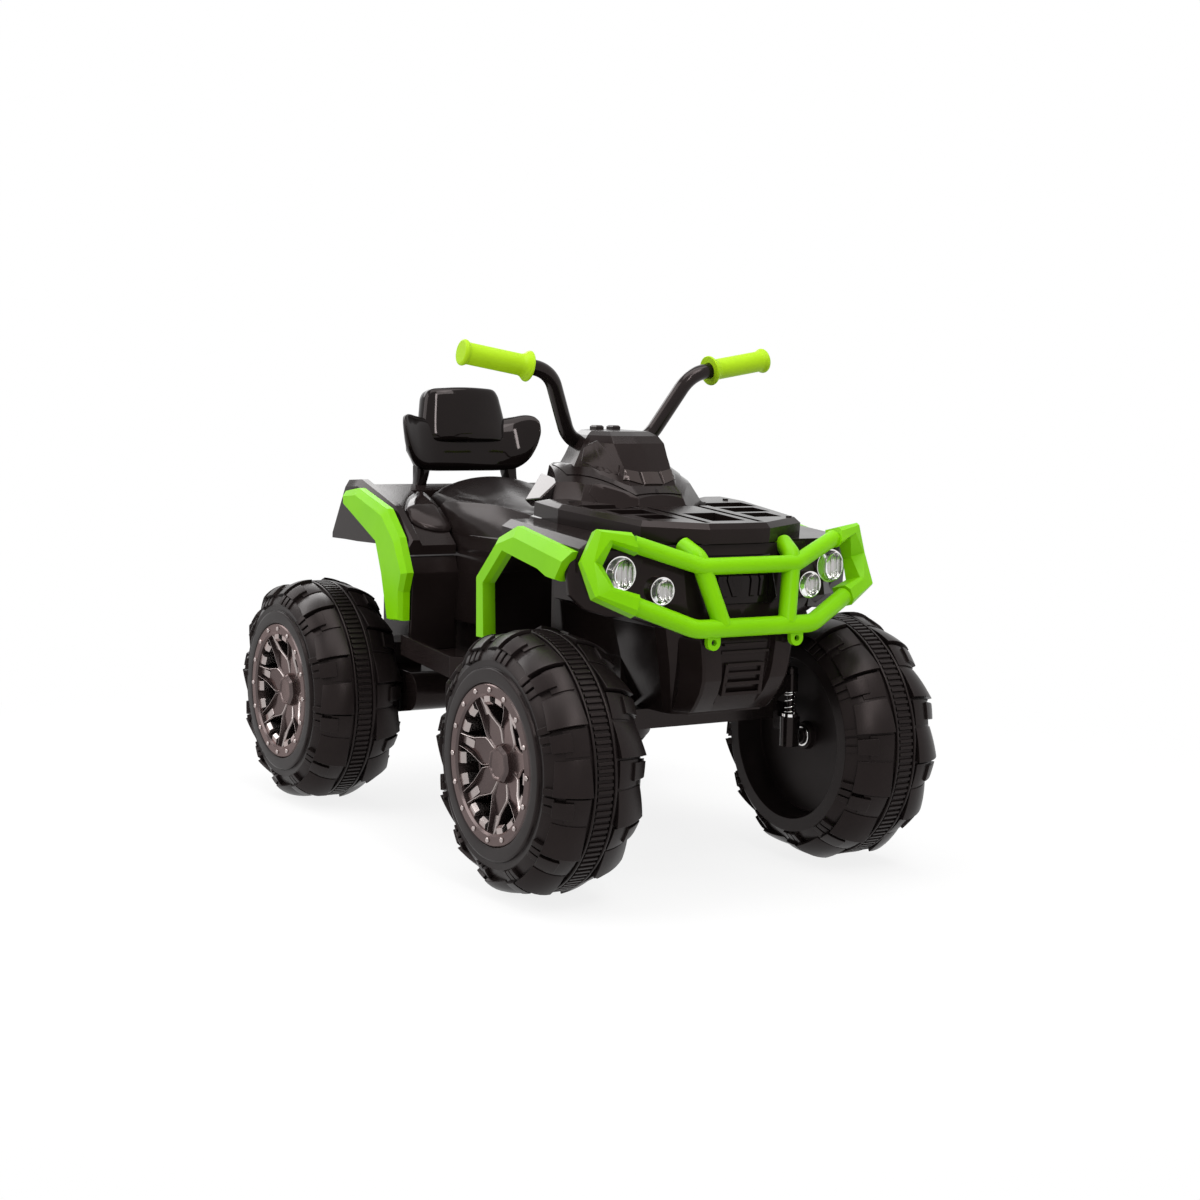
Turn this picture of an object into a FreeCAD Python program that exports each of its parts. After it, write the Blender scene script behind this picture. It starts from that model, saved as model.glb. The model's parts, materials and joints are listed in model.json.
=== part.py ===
import FreeCAD, Part
import math
import os
from FreeCAD import Vector

# Overall layout, in millimetres: X forward, Y to the rider's left, Z up, ground at zero
WHEELBASE = 686.0
TRACK = 478.0
TYRE_RADIUS = 175.0
RUN_GAP = 0.5
FIT_GAP = 0.3
WALL = 4.0
BUMPER_REACH = 154.0

REAR_X = -WHEELBASE / 2
FRONT_X = WHEELBASE / 2
BUMPER_X = FRONT_X + BUMPER_REACH
AXLE_Z = TYRE_RADIUS

# Wheels: offsets along the axle count outwards from the middle of the tread
TYRE_FACE = 71.0
TYRE_BACK = 75.0
TYRE_WALL = 3.2
LUG_HEIGHT = 9.0
LUG_COUNT = 12
RIB_COUNT = 90
RIM_RADIUS = 105.0
RIM_LEDGE = 11.0
SPOKE_COUNT = 7
BOLT_COUNT = 16
AXLE_RADIUS = 6.0
HUB_RADIUS = 14.0
HUB_END = 36.0
WEB_BACK = 38.0
HUB_BACK = 46.0

# Front suspension and steering
KINGPIN_INSET = 69.0
KINGPIN_Y = TRACK / 2 - KINGPIN_INSET
KINGPIN_RADIUS = 5.0
SLEEVE_RADIUS = 10.0
SLEEVE_LENGTH = 24.0
SPRING_LENGTH = 32.0
SPRING_WIRE = 2.2
SPRING_RADIUS = 7.6
SPRING_TURNS = 5
CUP_HEIGHT = 4.0
KNUCKLE_RADIUS = 14.0
KNUCKLE_BELOW = 12.0
KNUCKLE_ABOVE = 29.0
STEER_ARM = 45.0
ARM_THICK = 7.0
PIN_RADIUS = 4.0
BEAM_HEIGHT = 27.0
BEAM_DEPTH = 28.0
STEER_BACK = 223.5
STEER_X = FRONT_X - STEER_BACK
COLUMN_RADIUS = 9.0

# Lower tub and footboards
FLOOR_Z = AXLE_Z + 59.0
TUB_HEIGHT = 66.0
TUB_HALF = 98.0
TUB_TAIL = 62.0
TUB_NOSE = 23.5
FOOT_THICK = 6.0
FOOT_RAISE = 24.0
FOOT_LIP = 24.0
FOOT_REAR_Y = 207.0
FOOT_FRONT_Y = 246.0
TUB_TOP = FLOOR_Z + TUB_HEIGHT
FOOT_Z = FLOOR_Z + FOOT_RAISE

# Upper body
DECK_Z = AXLE_Z + 302.0
DECK_SLOPE = 0.0766
RACK_HEIGHT = 26.0
SEAT_Z = AXLE_Z + 263.0
SEAT_CROWN = 73.0
SEAT_HALF = 100.0
SEAT_REAR = REAR_X + 72.0
SEAT_FRONT = REAR_X + 384.0
TRIM_OUT = 233.0
TRIM_DEPTH = 18.0
REAR_HALF = 192.0
REAR_TRIM_OUT = 210.0
SEAM_Z = AXLE_Z + 373.0
SEAM_FLAT = 85.0
SEAM_SLOPE = 0.69
SEAM_GAP = 1.4

# Handlebar
BAR_RADIUS = 11.0
BAR_WALL = 2.0
BAR_BEND = 46.0
GRIP_RADIUS = 15.0
GRIP_LENGTH = 104.0
GRIP_FLANGE = 21.5
BAR_Z = AXLE_Z + 402.0

# Bumper and lamps
TUBE_RADIUS = 12.0
LAMP_BIG = 22.5
LAMP_SMALL = 18.0
LAMP_DEPTH = 22.0
LENS_THICK = 4.0
BEZEL_WALL = 3.0

# Small controls
BUTTON_RADIUS = 9.0
BUTTON_TRAVEL = 2.5
PEDAL_LENGTH = 74.0
PEDAL_WIDTH = 52.0
SCREW_RADIUS = 4.0

X_AXIS = Vector(1, 0, 0)
Y_AXIS = Vector(0, 1, 0)
Z_AXIS = Vector(0, 0, 1)
SIDES = {"left": 1, "right": -1}


# Helpers for outlines, lofts and tubes
def polygon(points):
    return Part.makePolygon(list(points) + [points[0]])


def prism_y(outline, low, high):
    face = Part.Face(polygon([Vector(x, low, z) for x, z in outline]))
    return face.extrude(Vector(0, high - low, 0))


def prism_z(outline, low, high):
    face = Part.Face(polygon([Vector(x, y, low) for x, y in outline]))
    return face.extrude(Vector(0, 0, high - low))


def loft(sections):
    return Part.makeLoft([polygon(points) for points in sections], True, True)


def mirrored(half):
    return half + [(-a, b) for a, b in reversed(half) if a != 0]


def mirrored_plan(half):
    return half + [(x, -y) for x, y in reversed(half) if y != 0]


def loft_x(stations):
    return loft([[Vector(x, y, z) for y, z in mirrored(half)] for x, half in stations])


def loft_z(levels):
    return loft([[Vector(x, y, z) for x, y in mirrored_plan(half)] for z, half in levels])


def slab_y(outline, face_outline, inner, middle, outer):
    sections = []
    for y, points in ((inner, outline), (middle, outline), (outer, face_outline)):
        sections.append([Vector(x, y, z) for x, z in points])
    return loft(sections)


def box(x0, x1, y0, y1, z0, z1):
    return Part.makeBox(x1 - x0, y1 - y0, z1 - z0, Vector(x0, y0, z0))


def rod(base, axis, radius, length):
    return Part.makeCylinder(radius, length, base, axis)


def spun(profile):
    face = Part.Face(polygon([Vector(r, w, 0) for r, w in profile]))
    return face.revolve(Vector(0, 0, 0), Y_AXIS, 360)


def flipped(shape):
    return shape.mirror(Vector(0, 0, 0), Y_AXIS)


def sided(shape, side):
    return shape if SIDES[side] > 0 else flipped(shape)


def moved(shape, offset):
    placed = shape.copy()
    placed.translate(offset)
    return placed


def biggest(shape):
    return max(shape.Solids, key=lambda solid: solid.Volume)


def joined(pieces):
    return pieces[0].multiFuse(pieces[1:])


def bent_tube(points, radius, bend):
    edges = []
    start = points[0]
    for before, corner, after in zip(points, points[1:], points[2:]):
        arriving = (corner - before).normalize()
        leaving = (after - corner).normalize()
        half_turn = arriving.getAngle(leaving) / 2
        trim = bend * math.tan(half_turn)
        inward = (leaving - arriving).normalize()
        first = corner - arriving * trim
        last = corner + leaving * trim
        middle = corner + inward * (bend / math.cos(half_turn) - bend)
        edges.append(Part.LineSegment(start, first).toShape())
        edges.append(Part.Arc(first, middle, last).toShape())
        start = last
    edges.append(Part.LineSegment(start, points[-1]).toShape())
    circle = Part.Wire(Part.makeCircle(radius, points[0], points[1] - points[0]))
    return Part.Wire(edges).makePipeShell([circle], True, True)


def about_front(points):
    return [(FRONT_X + x, AXLE_Z + z) for x, z in points]


def about_rear(points):
    return [(REAR_X + x, AXLE_Z + z) for x, z in points]


def about_steer(points):
    return [(STEER_X + x, y) for x, y in points]


# Hollow tyre: a barrel open towards the rim, with a web and a hub tube
def arc_edge(first, middle, last):
    points = [Vector(r, w, 0) for r, w in (first, middle, last)]
    return Part.Arc(*points).toShape()


def line_edges(points):
    vectors = [Vector(r, w, 0) for r, w in points]
    return [Part.LineSegment(a, b).toShape() for a, b in zip(vectors, vectors[1:])]


CROWN = TYRE_RADIUS - LUG_HEIGHT
BEAD = CROWN - 34.0
TREAD_HALF = 20.0
SHOULDER = (CROWN - 13.0, 54.0)
LIP = RIM_RADIUS + FIT_GAP
LEDGE_W = TYRE_FACE - RIM_LEDGE


def tyre_barrel(hub_back):
    wall = TYRE_WALL
    bore = AXLE_RADIUS + RUN_GAP
    shoulder_in = (SHOULDER[0] - 0.8 * wall, SHOULDER[1] - 0.6 * wall)
    recess = RIM_RADIUS + 3
    edges = line_edges([(LIP, LEDGE_W), (LIP, TYRE_FACE), (BEAD, TYRE_FACE)])
    edges.append(arc_edge((BEAD, TYRE_FACE), SHOULDER, (CROWN, TREAD_HALF)))
    edges += line_edges([(CROWN, TREAD_HALF), (CROWN, -TREAD_HALF)])
    edges.append(arc_edge((CROWN, -TREAD_HALF), (SHOULDER[0], -SHOULDER[1]), (BEAD, -TYRE_BACK)))
    edges += line_edges([(BEAD, -TYRE_BACK), (recess + 6, -TYRE_BACK), (recess, -WEB_BACK),
                         (HUB_RADIUS + 6, -WEB_BACK), (HUB_RADIUS + 4, -hub_back), (bore, -hub_back),
                         (bore, HUB_END), (HUB_RADIUS, HUB_END), (HUB_RADIUS, wall - WEB_BACK),
                         (recess + wall, wall - WEB_BACK), (recess + 6 + wall, wall - TYRE_BACK),
                         (BEAD - wall, wall - TYRE_BACK)])
    edges.append(arc_edge((BEAD - wall, wall - TYRE_BACK), (shoulder_in[0], -shoulder_in[1]),
                          (CROWN - wall, -TREAD_HALF)))
    edges += line_edges([(CROWN - wall, -TREAD_HALF), (CROWN - wall, TREAD_HALF)])
    edges.append(arc_edge((CROWN - wall, TREAD_HALF), shoulder_in, (BEAD - wall, TYRE_FACE - wall)))
    edges += line_edges([(BEAD - wall, TYRE_FACE - wall), (LIP + wall, TYRE_FACE - wall),
                         (LIP + wall, LEDGE_W - wall), (LIP - 8, LEDGE_W - wall), (LIP - 8, LEDGE_W),
                         (LIP, LEDGE_W)])
    return Part.Face(Part.Wire(edges)).revolve(Vector(0, 0, 0), Y_AXIS, 360)


def tyre_lugs():
    top = TYRE_RADIUS
    block = Part.Face(polygon([Vector(r, w, 0) for r, w in (
        (CROWN - 2, TREAD_HALF), (top, TREAD_HALF), (top - 1, 36), (top - 16, 60), (CROWN - 24, 66),
        (CROWN - 16, 52), (CROWN - 6, 34))]))
    ridge = Part.Face(polygon([Vector(r, w, 0) for r, w in (
        (CROWN - 16, 56), (CROWN - 14, 63), (BEAD + 6, TYRE_FACE + 3), (BEAD - 2, TYRE_FACE + 3),
        (BEAD - 2, TYRE_FACE - 2), (BEAD + 6, TYRE_FACE - 4))]))
    pieces = []
    for face, spans in ((block, ((-7.5, 15.0),)), (ridge, ((-6.5, 4.5), (2.0, 4.5)))):
        for start, sweep in spans:
            segment = face.revolve(Vector(0, 0, 0), Y_AXIS, sweep)
            segment.rotate(Vector(0, 0, 0), Y_AXIS, start)
            pieces.append(segment)
    lugs = []
    pitch = 360.0 / LUG_COUNT
    for number in range(LUG_COUNT):
        for piece in pieces:
            outer = piece.copy()
            outer.rotate(Vector(0, 0, 0), Y_AXIS, number * pitch)
            inner = piece.mirror(Vector(0, 0, 0), Y_AXIS)
            inner.rotate(Vector(0, 0, 0), Y_AXIS, (number + 0.5) * pitch)
            lugs += [outer, inner]
    return lugs


def ribbed_band():
    half_width = 12.0
    points = []
    step = 2 * math.pi / RIB_COUNT
    for number in range(RIB_COUNT):
        for share, radius in ((0.0, CROWN + 1.5), (0.5, CROWN + 1.5), (0.5, CROWN + 4), (1.0, CROWN + 4)):
            angle = (number + share) * step
            points.append((radius * math.sin(angle), radius * math.cos(angle)))
    core = rod(Vector(0, -half_width, 0), Y_AXIS, CROWN - 2, 2 * half_width)
    pieces = [prism_y(points, -half_width, half_width).cut(core)]
    for w in (-half_width - 4.5, half_width + 1.5):
        pieces.append(spun([(CROWN - 2, w), (CROWN + 3, w), (CROWN + 3, w + 3), (CROWN - 2, w + 3)]))
    return pieces


def tyre(hub_back):
    return tyre_barrel(hub_back).multiFuse(tyre_lugs() + ribbed_band()).removeSplitter()


# Rim: bolted ring, seven spokes in a deep dish and a hub cap over the axle nut
def rim():
    face = TYRE_FACE
    dish = face - 14
    hub = HUB_END
    ring = spun([(RIM_RADIUS, LEDGE_W), (RIM_RADIUS, face - 2), (RIM_RADIUS - 2, face), (90, face), (86, face - 5),
                 (84, LEDGE_W), (84, LEDGE_W - 12), (92, LEDGE_W - 12), (92, LEDGE_W)])
    plate = spun([(11, hub), (30, hub), (86, LEDGE_W - 12), (86, LEDGE_W - 3), (34, hub + 11), (11, hub + 11)])
    pitch = 360.0 / SPOKE_COUNT
    window = prism_y([(33, -7), (52, -15), (80, -25), (83, -10), (83, 10), (80, 25), (52, 15), (33, 7)], 0, face)
    windows = []
    ribs = []
    rib = prism_y([(36, -6), (84.5, -4), (84.5, 4), (36, 6)], hub + 9, dish)
    for number in range(SPOKE_COUNT):
        cutter = window.copy()
        cutter.rotate(Vector(0, 0, 0), Y_AXIS, number * pitch)
        windows.append(cutter)
        raised = rib.copy()
        raised.rotate(Vector(0, 0, 0), Y_AXIS, (number + 0.5) * pitch)
        ribs.append(raised)
    cap = spun([(13, hub + 6), (26, hub + 6), (24, hub + 20), (20, hub + 23), (0.01, hub + 23), (0.01, hub + 19),
                (13, hub + 19)])
    bolts = []
    for number in range(BOLT_COUNT):
        angle = 2 * math.pi * number / BOLT_COUNT
        at = Vector(97.5 * math.sin(angle), face - 1, 97.5 * math.cos(angle))
        bolts.append(rod(at, Y_AXIS, 3.2, 3.0))
    return joined([ring, plate.cut(joined(windows)), cap] + ribs + bolts)


# Coil spring as one unbroken wire: pairs of arcs through each quarter turn
def arc_from(start, tangent, end):
    chord = end - start
    along = Vector(chord).normalize()
    lean = tangent.getAngle(along)
    aside = tangent - along * tangent.dot(along)
    middle = (start + end) * 0.5 + aside.normalize() * (chord.Length / 2 * math.tan(lean / 2))
    return Part.Arc(start, middle, end).toShape()


def biarc(start, tangent, end, end_tangent):
    chord = end - start
    spread = 2 * (tangent.dot(end_tangent) - 1)
    reach = chord.dot(tangent + end_tangent)
    handle = (reach - math.sqrt(reach * reach - spread * chord.dot(chord))) / spread
    joint = (start + end + (tangent - end_tangent) * handle) * 0.5
    second = arc_from(end, end_tangent * -1, joint)
    return [arc_from(start, tangent, joint), second]


def coil(base):
    low = SPRING_WIRE * 0.45
    pitch = (SPRING_LENGTH - 2 * low) / SPRING_TURNS
    rise = pitch / (2 * math.pi)

    def at(turn):
        angle = 2 * math.pi * turn
        return Vector(SPRING_RADIUS * math.cos(angle), SPRING_RADIUS * math.sin(angle), low + pitch * turn)

    def heading(turn):
        angle = 2 * math.pi * turn
        return Vector(-SPRING_RADIUS * math.sin(angle), SPRING_RADIUS * math.cos(angle), rise).normalize()

    begin = at(0) - heading(0) * SPRING_WIRE
    edges = [Part.LineSegment(begin, at(0)).toShape()]
    quarters = [number / 4 for number in range(SPRING_TURNS * 4 + 1)]
    for here, there in zip(quarters, quarters[1:]):
        edges += biarc(at(here), heading(here), at(there), heading(there))
    edges.append(Part.LineSegment(at(SPRING_TURNS), at(SPRING_TURNS) + heading(SPRING_TURNS) * SPRING_WIRE).toShape())
    circle = Part.Wire(Part.makeCircle(SPRING_WIRE / 2, begin, heading(0)))
    wound = Part.Wire(Part.__sortEdges__(edges)).makePipeShell([circle], True, False)
    marks = [at(number / 24) for number in range(SPRING_TURNS * 24 + 1)]
    least = min(a.distanceToPoint(b) for i, a in enumerate(marks) for b in marks[i + 12:])
    print("spring: least gap to itself", round(least - SPRING_WIRE, 2), "mm")
    ground_ends = rod(Vector(0, 0, 0), Z_AXIS, SPRING_RADIUS + 2 * SPRING_WIRE, SPRING_LENGTH)
    return moved(biggest(wound.common(ground_ends)), base)


# Heights along the kingpin: knuckle, spring cup, spring, beam sleeve, nut
CUP_Z = AXLE_Z + KNUCKLE_ABOVE + FIT_GAP
SPRING_Z = CUP_Z + CUP_HEIGHT
SLEEVE_Z = SPRING_Z + SPRING_LENGTH
SLEEVE_TOP = SLEEVE_Z + SLEEVE_LENGTH
ARM_LOW = AXLE_Z + 38.0
LINK_TOP = ARM_LOW - RUN_GAP
LINK_THICK = 7.0
PIN_DROP = 18.0
ARM_HALF = 9.0
NUT_RADIUS = 9.5
NUT_HEIGHT = 8.0
KINGPIN = Vector(FRONT_X, KINGPIN_Y, 0)


GUSSET_REACH = 64.0


def front_axle_beam():
    half = BEAM_DEPTH / 2
    low = FLOOR_Z - BEAM_HEIGHT
    bar = box(FRONT_X - half, FRONT_X + half, 0, KINGPIN_Y - 40, low, FLOOR_Z)
    sheet = 3.0
    bar = bar.cut(box(FRONT_X - half + sheet, FRONT_X + half - sheet, -1, KINGPIN_Y - 66, low - 1, FLOOR_Z - sheet))
    rib = half - 6
    foot = KINGPIN_Y - GUSSET_REACH
    outline = [(foot, low), (KINGPIN_Y - 40, low), (KINGPIN_Y - 26, SLEEVE_Z - 6), (KINGPIN_Y - 15, SLEEVE_Z),
               (KINGPIN_Y, SLEEVE_Z), (KINGPIN_Y, SLEEVE_TOP), (KINGPIN_Y - 16, SLEEVE_TOP), (foot, FLOOR_Z + 6)]
    gusset = Part.Face(polygon([Vector(FRONT_X - rib, y, z) for y, z in outline])).extrude(X_AXIS * (2 * rib))
    sleeve = rod(KINGPIN + Z_AXIS * SLEEVE_Z, Z_AXIS, SLEEVE_RADIUS, SLEEVE_LENGTH)
    bore = rod(KINGPIN + Z_AXIS * (SLEEVE_Z - 9), Z_AXIS, KINGPIN_RADIUS + FIT_GAP, SLEEVE_LENGTH + 10)
    half_beam = joined([bar, gusset, sleeve]).cut(bore)
    return half_beam.fuse(flipped(half_beam)).removeSplitter()


def axle_room():
    half = BEAM_DEPTH / 2 + RUN_GAP
    near = KINGPIN_Y - GUSSET_REACH - RUN_GAP
    far = KINGPIN_Y + SLEEVE_RADIUS + RUN_GAP
    top = SLEEVE_TOP + NUT_HEIGHT + RUN_GAP
    return both(box(FRONT_X - half, FRONT_X + half, near, far, FLOOR_Z - BEAM_HEIGHT, top))


def spring_cup():
    cup = rod(KINGPIN + Z_AXIS * CUP_Z, Z_AXIS, SPRING_RADIUS + SPRING_WIRE + 1.5, CUP_HEIGHT)
    return cup.cut(rod(KINGPIN + Z_AXIS * CUP_Z, Z_AXIS, KINGPIN_RADIUS + FIT_GAP, CUP_HEIGHT))


def knuckle():
    boss_low = AXLE_Z - KNUCKLE_BELOW
    boss_top = AXLE_Z + KNUCKLE_ABOVE
    boss = rod(KINGPIN + Z_AXIS * boss_low, Z_AXIS, KNUCKLE_RADIUS, boss_top - boss_low)
    pin = rod(KINGPIN + Z_AXIS * (boss_top - 1), Z_AXIS, KINGPIN_RADIUS, SLEEVE_TOP + NUT_HEIGHT - boss_top + 3)
    nut = rod(KINGPIN + Z_AXIS * (SLEEVE_TOP + FIT_GAP), Z_AXIS, SLEEVE_RADIUS - 1, NUT_HEIGHT)
    hub_face = TRACK / 2 - HUB_BACK - RUN_GAP
    hub_out = TRACK / 2 + HUB_END + RUN_GAP
    stub = rod(KINGPIN + Z_AXIS * AXLE_Z, Y_AXIS, AXLE_RADIUS, hub_out + NUT_HEIGHT + 2 - KINGPIN_Y)
    collar = rod(KINGPIN + Z_AXIS * AXLE_Z, Y_AXIS, AXLE_RADIUS + 4, hub_face - KINGPIN_Y)
    end_nut = rod(Vector(FRONT_X, hub_out, AXLE_Z), Y_AXIS, NUT_RADIUS, NUT_HEIGHT)
    riser_x = FRONT_X - KNUCKLE_RADIUS - 3
    arm_top = ARM_LOW + ARM_THICK
    foot = box(riser_x - 9, FRONT_X, KINGPIN_Y - ARM_HALF, KINGPIN_Y + ARM_HALF, AXLE_Z + 9, boss_top - 1)
    riser = box(riser_x - 9, riser_x, KINGPIN_Y - ARM_HALF, KINGPIN_Y + ARM_HALF, AXLE_Z + 9, arm_top)
    pin_x = FRONT_X - STEER_ARM
    arm = box(pin_x - ARM_HALF, riser_x, KINGPIN_Y - ARM_HALF, KINGPIN_Y + ARM_HALF, ARM_LOW, arm_top)
    link_pin = rod(Vector(pin_x, KINGPIN_Y, ARM_LOW + 1), Z_AXIS * -1, PIN_RADIUS, PIN_DROP + 1)
    return joined([boss, pin, nut, stub, collar, end_nut, foot, riser, arm, link_pin]).removeSplitter()


def steering_column(handlebar_tube):
    arm_top = ARM_LOW + ARM_THICK
    shaft = rod(Vector(STEER_X, 0, ARM_LOW), Z_AXIS, COLUMN_RADIUS, BAR_Z - ARM_LOW)
    pin_x = STEER_X - STEER_ARM
    crank = box(pin_x - ARM_HALF, STEER_X + COLUMN_RADIUS, -ARM_HALF, ARM_HALF, ARM_LOW, arm_top)
    pin = rod(Vector(pin_x, 0, ARM_LOW + 1), Z_AXIS * -1, PIN_RADIUS, PIN_DROP - 4)
    clamp = box(STEER_X - 20, STEER_X + 20, -26, 26, BAR_Z - 22, BAR_Z + 5)
    return joined([shaft, crank, pin, clamp]).cut(handlebar_tube).removeSplitter()


def steering_linkage():
    tie_x = FRONT_X - STEER_ARM
    crank_x = STEER_X - STEER_ARM
    low = LINK_TOP - LINK_THICK
    half = ARM_HALF - 1
    tie = box(tie_x - half, tie_x + half, -KINGPIN_Y - half, KINGPIN_Y + half, low, LINK_TOP)
    drag = box(crank_x - half, tie_x, -half, half, low, LINK_TOP)
    holes = []
    for x, y in ((tie_x, KINGPIN_Y), (tie_x, -KINGPIN_Y), (crank_x, 0)):
        holes.append(rod(Vector(x, y, low - 1), Z_AXIS, PIN_RADIUS + FIT_GAP, LINK_THICK + 2))
    return tie.fuse(drag).cut(joined(holes)).removeSplitter()


# Lower tub with a footboard on each side
FOOT_REAR = REAR_X + 206.0
FOOT_FRONT = FRONT_X - 186.0
CORNER_BACK = 12.0
WALL_THICK = 10.0
COLUMN_HOLE = COLUMN_RADIUS + 3.0
PEDAL_X = FRONT_X - 285.0
PEDAL_Y = -165.0
PEDAL_Z = FOOT_Z + 9.0
HINGE_RADIUS = 3.0
COLUMN_CUT = rod(Vector(STEER_X, 0, FLOOR_Z - 1), Z_AXIS, COLUMN_HOLE, SEAM_Z - FLOOR_Z + 6)


def footboard():
    low = FOOT_Z - FOOT_THICK
    plan = [(FOOT_REAR, TUB_HALF - 1), (FOOT_REAR, FOOT_REAR_Y - 8), (FOOT_REAR + 36, FOOT_REAR_Y),
            (FOOT_FRONT - 46, FOOT_FRONT_Y), (FOOT_FRONT - CORNER_BACK, FOOT_FRONT_Y - 26),
            (FOOT_FRONT, FOOT_FRONT_Y - 70), (FOOT_FRONT, TUB_HALF - 1)]
    well = [(x + (9 if x > 0 else -9), y - 6) if x in (FOOT_REAR, FOOT_FRONT) else (x, y - 6) for x, y in plan]
    board = prism_z(plan, low, FOOT_Z + FOOT_LIP)
    return board.cut(prism_z(well, FOOT_Z, FOOT_Z + FOOT_LIP + 1))


def pedal_lugs():
    lugs = []
    for side in (-1, 1):
        inner = PEDAL_Y + side * (PEDAL_WIDTH / 2 + RUN_GAP)
        low, high = sorted((inner, inner + side * 5))
        lug = box(PEDAL_X - 7, PEDAL_X + 7, low, high, FOOT_Z - 1, PEDAL_Z + 7)
        lugs.append(lug.cut(rod(Vector(PEDAL_X, low - 1, PEDAL_Z), Y_AXIS, HINGE_RADIUS + FIT_GAP, 7)))
    return lugs


def floor_pan():
    rear = REAR_X - TUB_TAIL
    front = FRONT_X - TUB_NOSE
    tub = box(rear, front, -TUB_HALF, TUB_HALF, FLOOR_Z, TUB_TOP)
    tub = tub.cut(box(rear + WALL, front - WALL, WALL - TUB_HALF, TUB_HALF - WALL, FLOOR_Z + WALL, TUB_TOP + 1))
    boards = [footboard(), flipped(footboard())]
    return joined([tub] + boards + pedal_lugs()).cut(COLUMN_CUT).removeSplitter()


def foot_pedal():
    pad = box(PEDAL_X - 4, PEDAL_X + PEDAL_LENGTH, PEDAL_Y - PEDAL_WIDTH / 2, PEDAL_Y + PEDAL_WIDTH / 2,
              PEDAL_Z - 3, PEDAL_Z + 5)
    for number in range(5):
        x = PEDAL_X + 14 + number * 12
        pad = pad.cut(box(x, x + 5, PEDAL_Y - 20, PEDAL_Y + 20, PEDAL_Z + 3, PEDAL_Z + 6))
    pad.rotate(Vector(PEDAL_X, 0, PEDAL_Z), Y_AXIS, -16)
    reach = PEDAL_WIDTH / 2 + 5
    pin = rod(Vector(PEDAL_X, PEDAL_Y - reach, PEDAL_Z), Y_AXIS, HINGE_RADIUS, 2 * reach)
    return pad.fuse(pin).removeSplitter()


# Centre body between the tub and the seat, and the walls in front of and behind the footwells
def centre_profile(half, top):
    return [(0, top), (half - 24, top), (half - 4, top - 6), (half, top - 26), (TUB_HALF, TUB_TOP)]


CENTRE_STATIONS = [
    (REAR_X - TUB_TAIL, centre_profile(TUB_HALF + 1, SEAT_Z)),
    (SEAT_REAR, centre_profile(TUB_HALF + 12, SEAT_Z)),
    (SEAT_FRONT, centre_profile(TUB_HALF + 10, SEAT_Z)),
    (FOOT_FRONT, centre_profile(TUB_HALF + 6, SEAT_Z)),
    (FRONT_X - TUB_NOSE, centre_profile(TUB_HALF + 1, SEAT_Z)),
]


def centre_block():
    return loft_x(CENTRE_STATIONS)


def centre_body():
    insets = (WALL, 0, 0, 0, -WALL)
    hollow = []
    for (x, half), inset in zip(CENTRE_STATIONS, insets):
        hollow.append((x + inset, [(max(0, y - WALL), z - (WALL if z > TUB_TOP else 1)) for y, z in half]))
    return centre_block().cut(loft_x(hollow)).cut(COLUMN_CUT)


def front_wall():
    front = FOOT_FRONT - FRONT_X
    back = front - WALL_THICK
    outline = about_front([(back, 0), (front, 0), (front, 225), (-128, 272), (-128, 284), (-138, 284), (back, 232)])
    outline = [(x, max(z, FOOT_Z)) for x, z in outline]
    return prism_y(outline, TUB_HALF + 13, TRIM_OUT - TRIM_DEPTH)


def rear_wall():
    outline = about_rear([(208, 0), (217, 0), (224, 200), (214, 224), (206, 224), (215, 198)])
    outline = [(x, max(z, FOOT_Z)) for x, z in outline]
    return prism_y(outline, TUB_HALF + 13, REAR_HALF - 3)


def both(shape):
    return Part.makeCompound([shape, flipped(shape)])


# Front fender deck, a lid with skirts
DECK_HALF = TRIM_OUT - TRIM_DEPTH
DECK_REAR = FRONT_X - 145.0
DECK_FRONT = FRONT_X + 80.0
DECK_SKIRT = 40.0


def deck_top(x):
    return DECK_Z - DECK_SLOPE * (x - FRONT_X + 130)


def deck_profile(x, half):
    top = deck_top(x)
    return [(0, top), (half - 14, top), (half, top - 9), (half, top - DECK_SKIRT)]


def deck_block():
    shoulder = FRONT_X + 56.0
    return loft_x([(DECK_REAR, deck_profile(DECK_REAR, DECK_HALF)), (shoulder, deck_profile(shoulder, DECK_HALF)),
                   (DECK_FRONT, deck_profile(DECK_FRONT, DECK_HALF - 42))])


def front_fenders(nose_block):
    shoulder = FRONT_X + 56.0
    stations = []
    for x, half in ((DECK_REAR + WALL, DECK_HALF), (shoulder - WALL, DECK_HALF), (DECK_FRONT - WALL, DECK_HALF - 42)):
        profile = deck_profile(x, half - WALL)
        stations.append((x, [(y, z - WALL) for y, z in profile]))
    lid = deck_block().cut(loft_x(stations))
    return biggest(lid.cut(nose_block).cut(COLUMN_CUT))


# Nose cowl with the lamp panel, tapering down to the front axle
NOSE_BACK = FRONT_X - TUB_NOSE
NOSE_LEVELS = [
    (59, [(79, 0), (79, 58), (63, 74), (51, 78)]),
    (125, [(99, 0), (99, 66), (81, 90), (67, 98)]),
    (177, [(111, 0), (109, 74), (91, 104), (77, 112)]),
    (209, [(113, 0), (108, 84), (81, 160), (51, 204)]),
    (283, [(99, 0), (94, 84), (67, 160), (37, 206)]),
]


def nose_levels(inset):
    levels = []
    for height, half in NOSE_LEVELS:
        points = [(FRONT_X + x - inset, max(0, y - inset)) for x, y in half]
        points.append((NOSE_BACK - inset, points[-1][1]))
        levels.append((AXLE_Z + height, points + [(NOSE_BACK - inset, 0)]))
    return levels


def nose_block():
    return loft_z(nose_levels(0))


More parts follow.
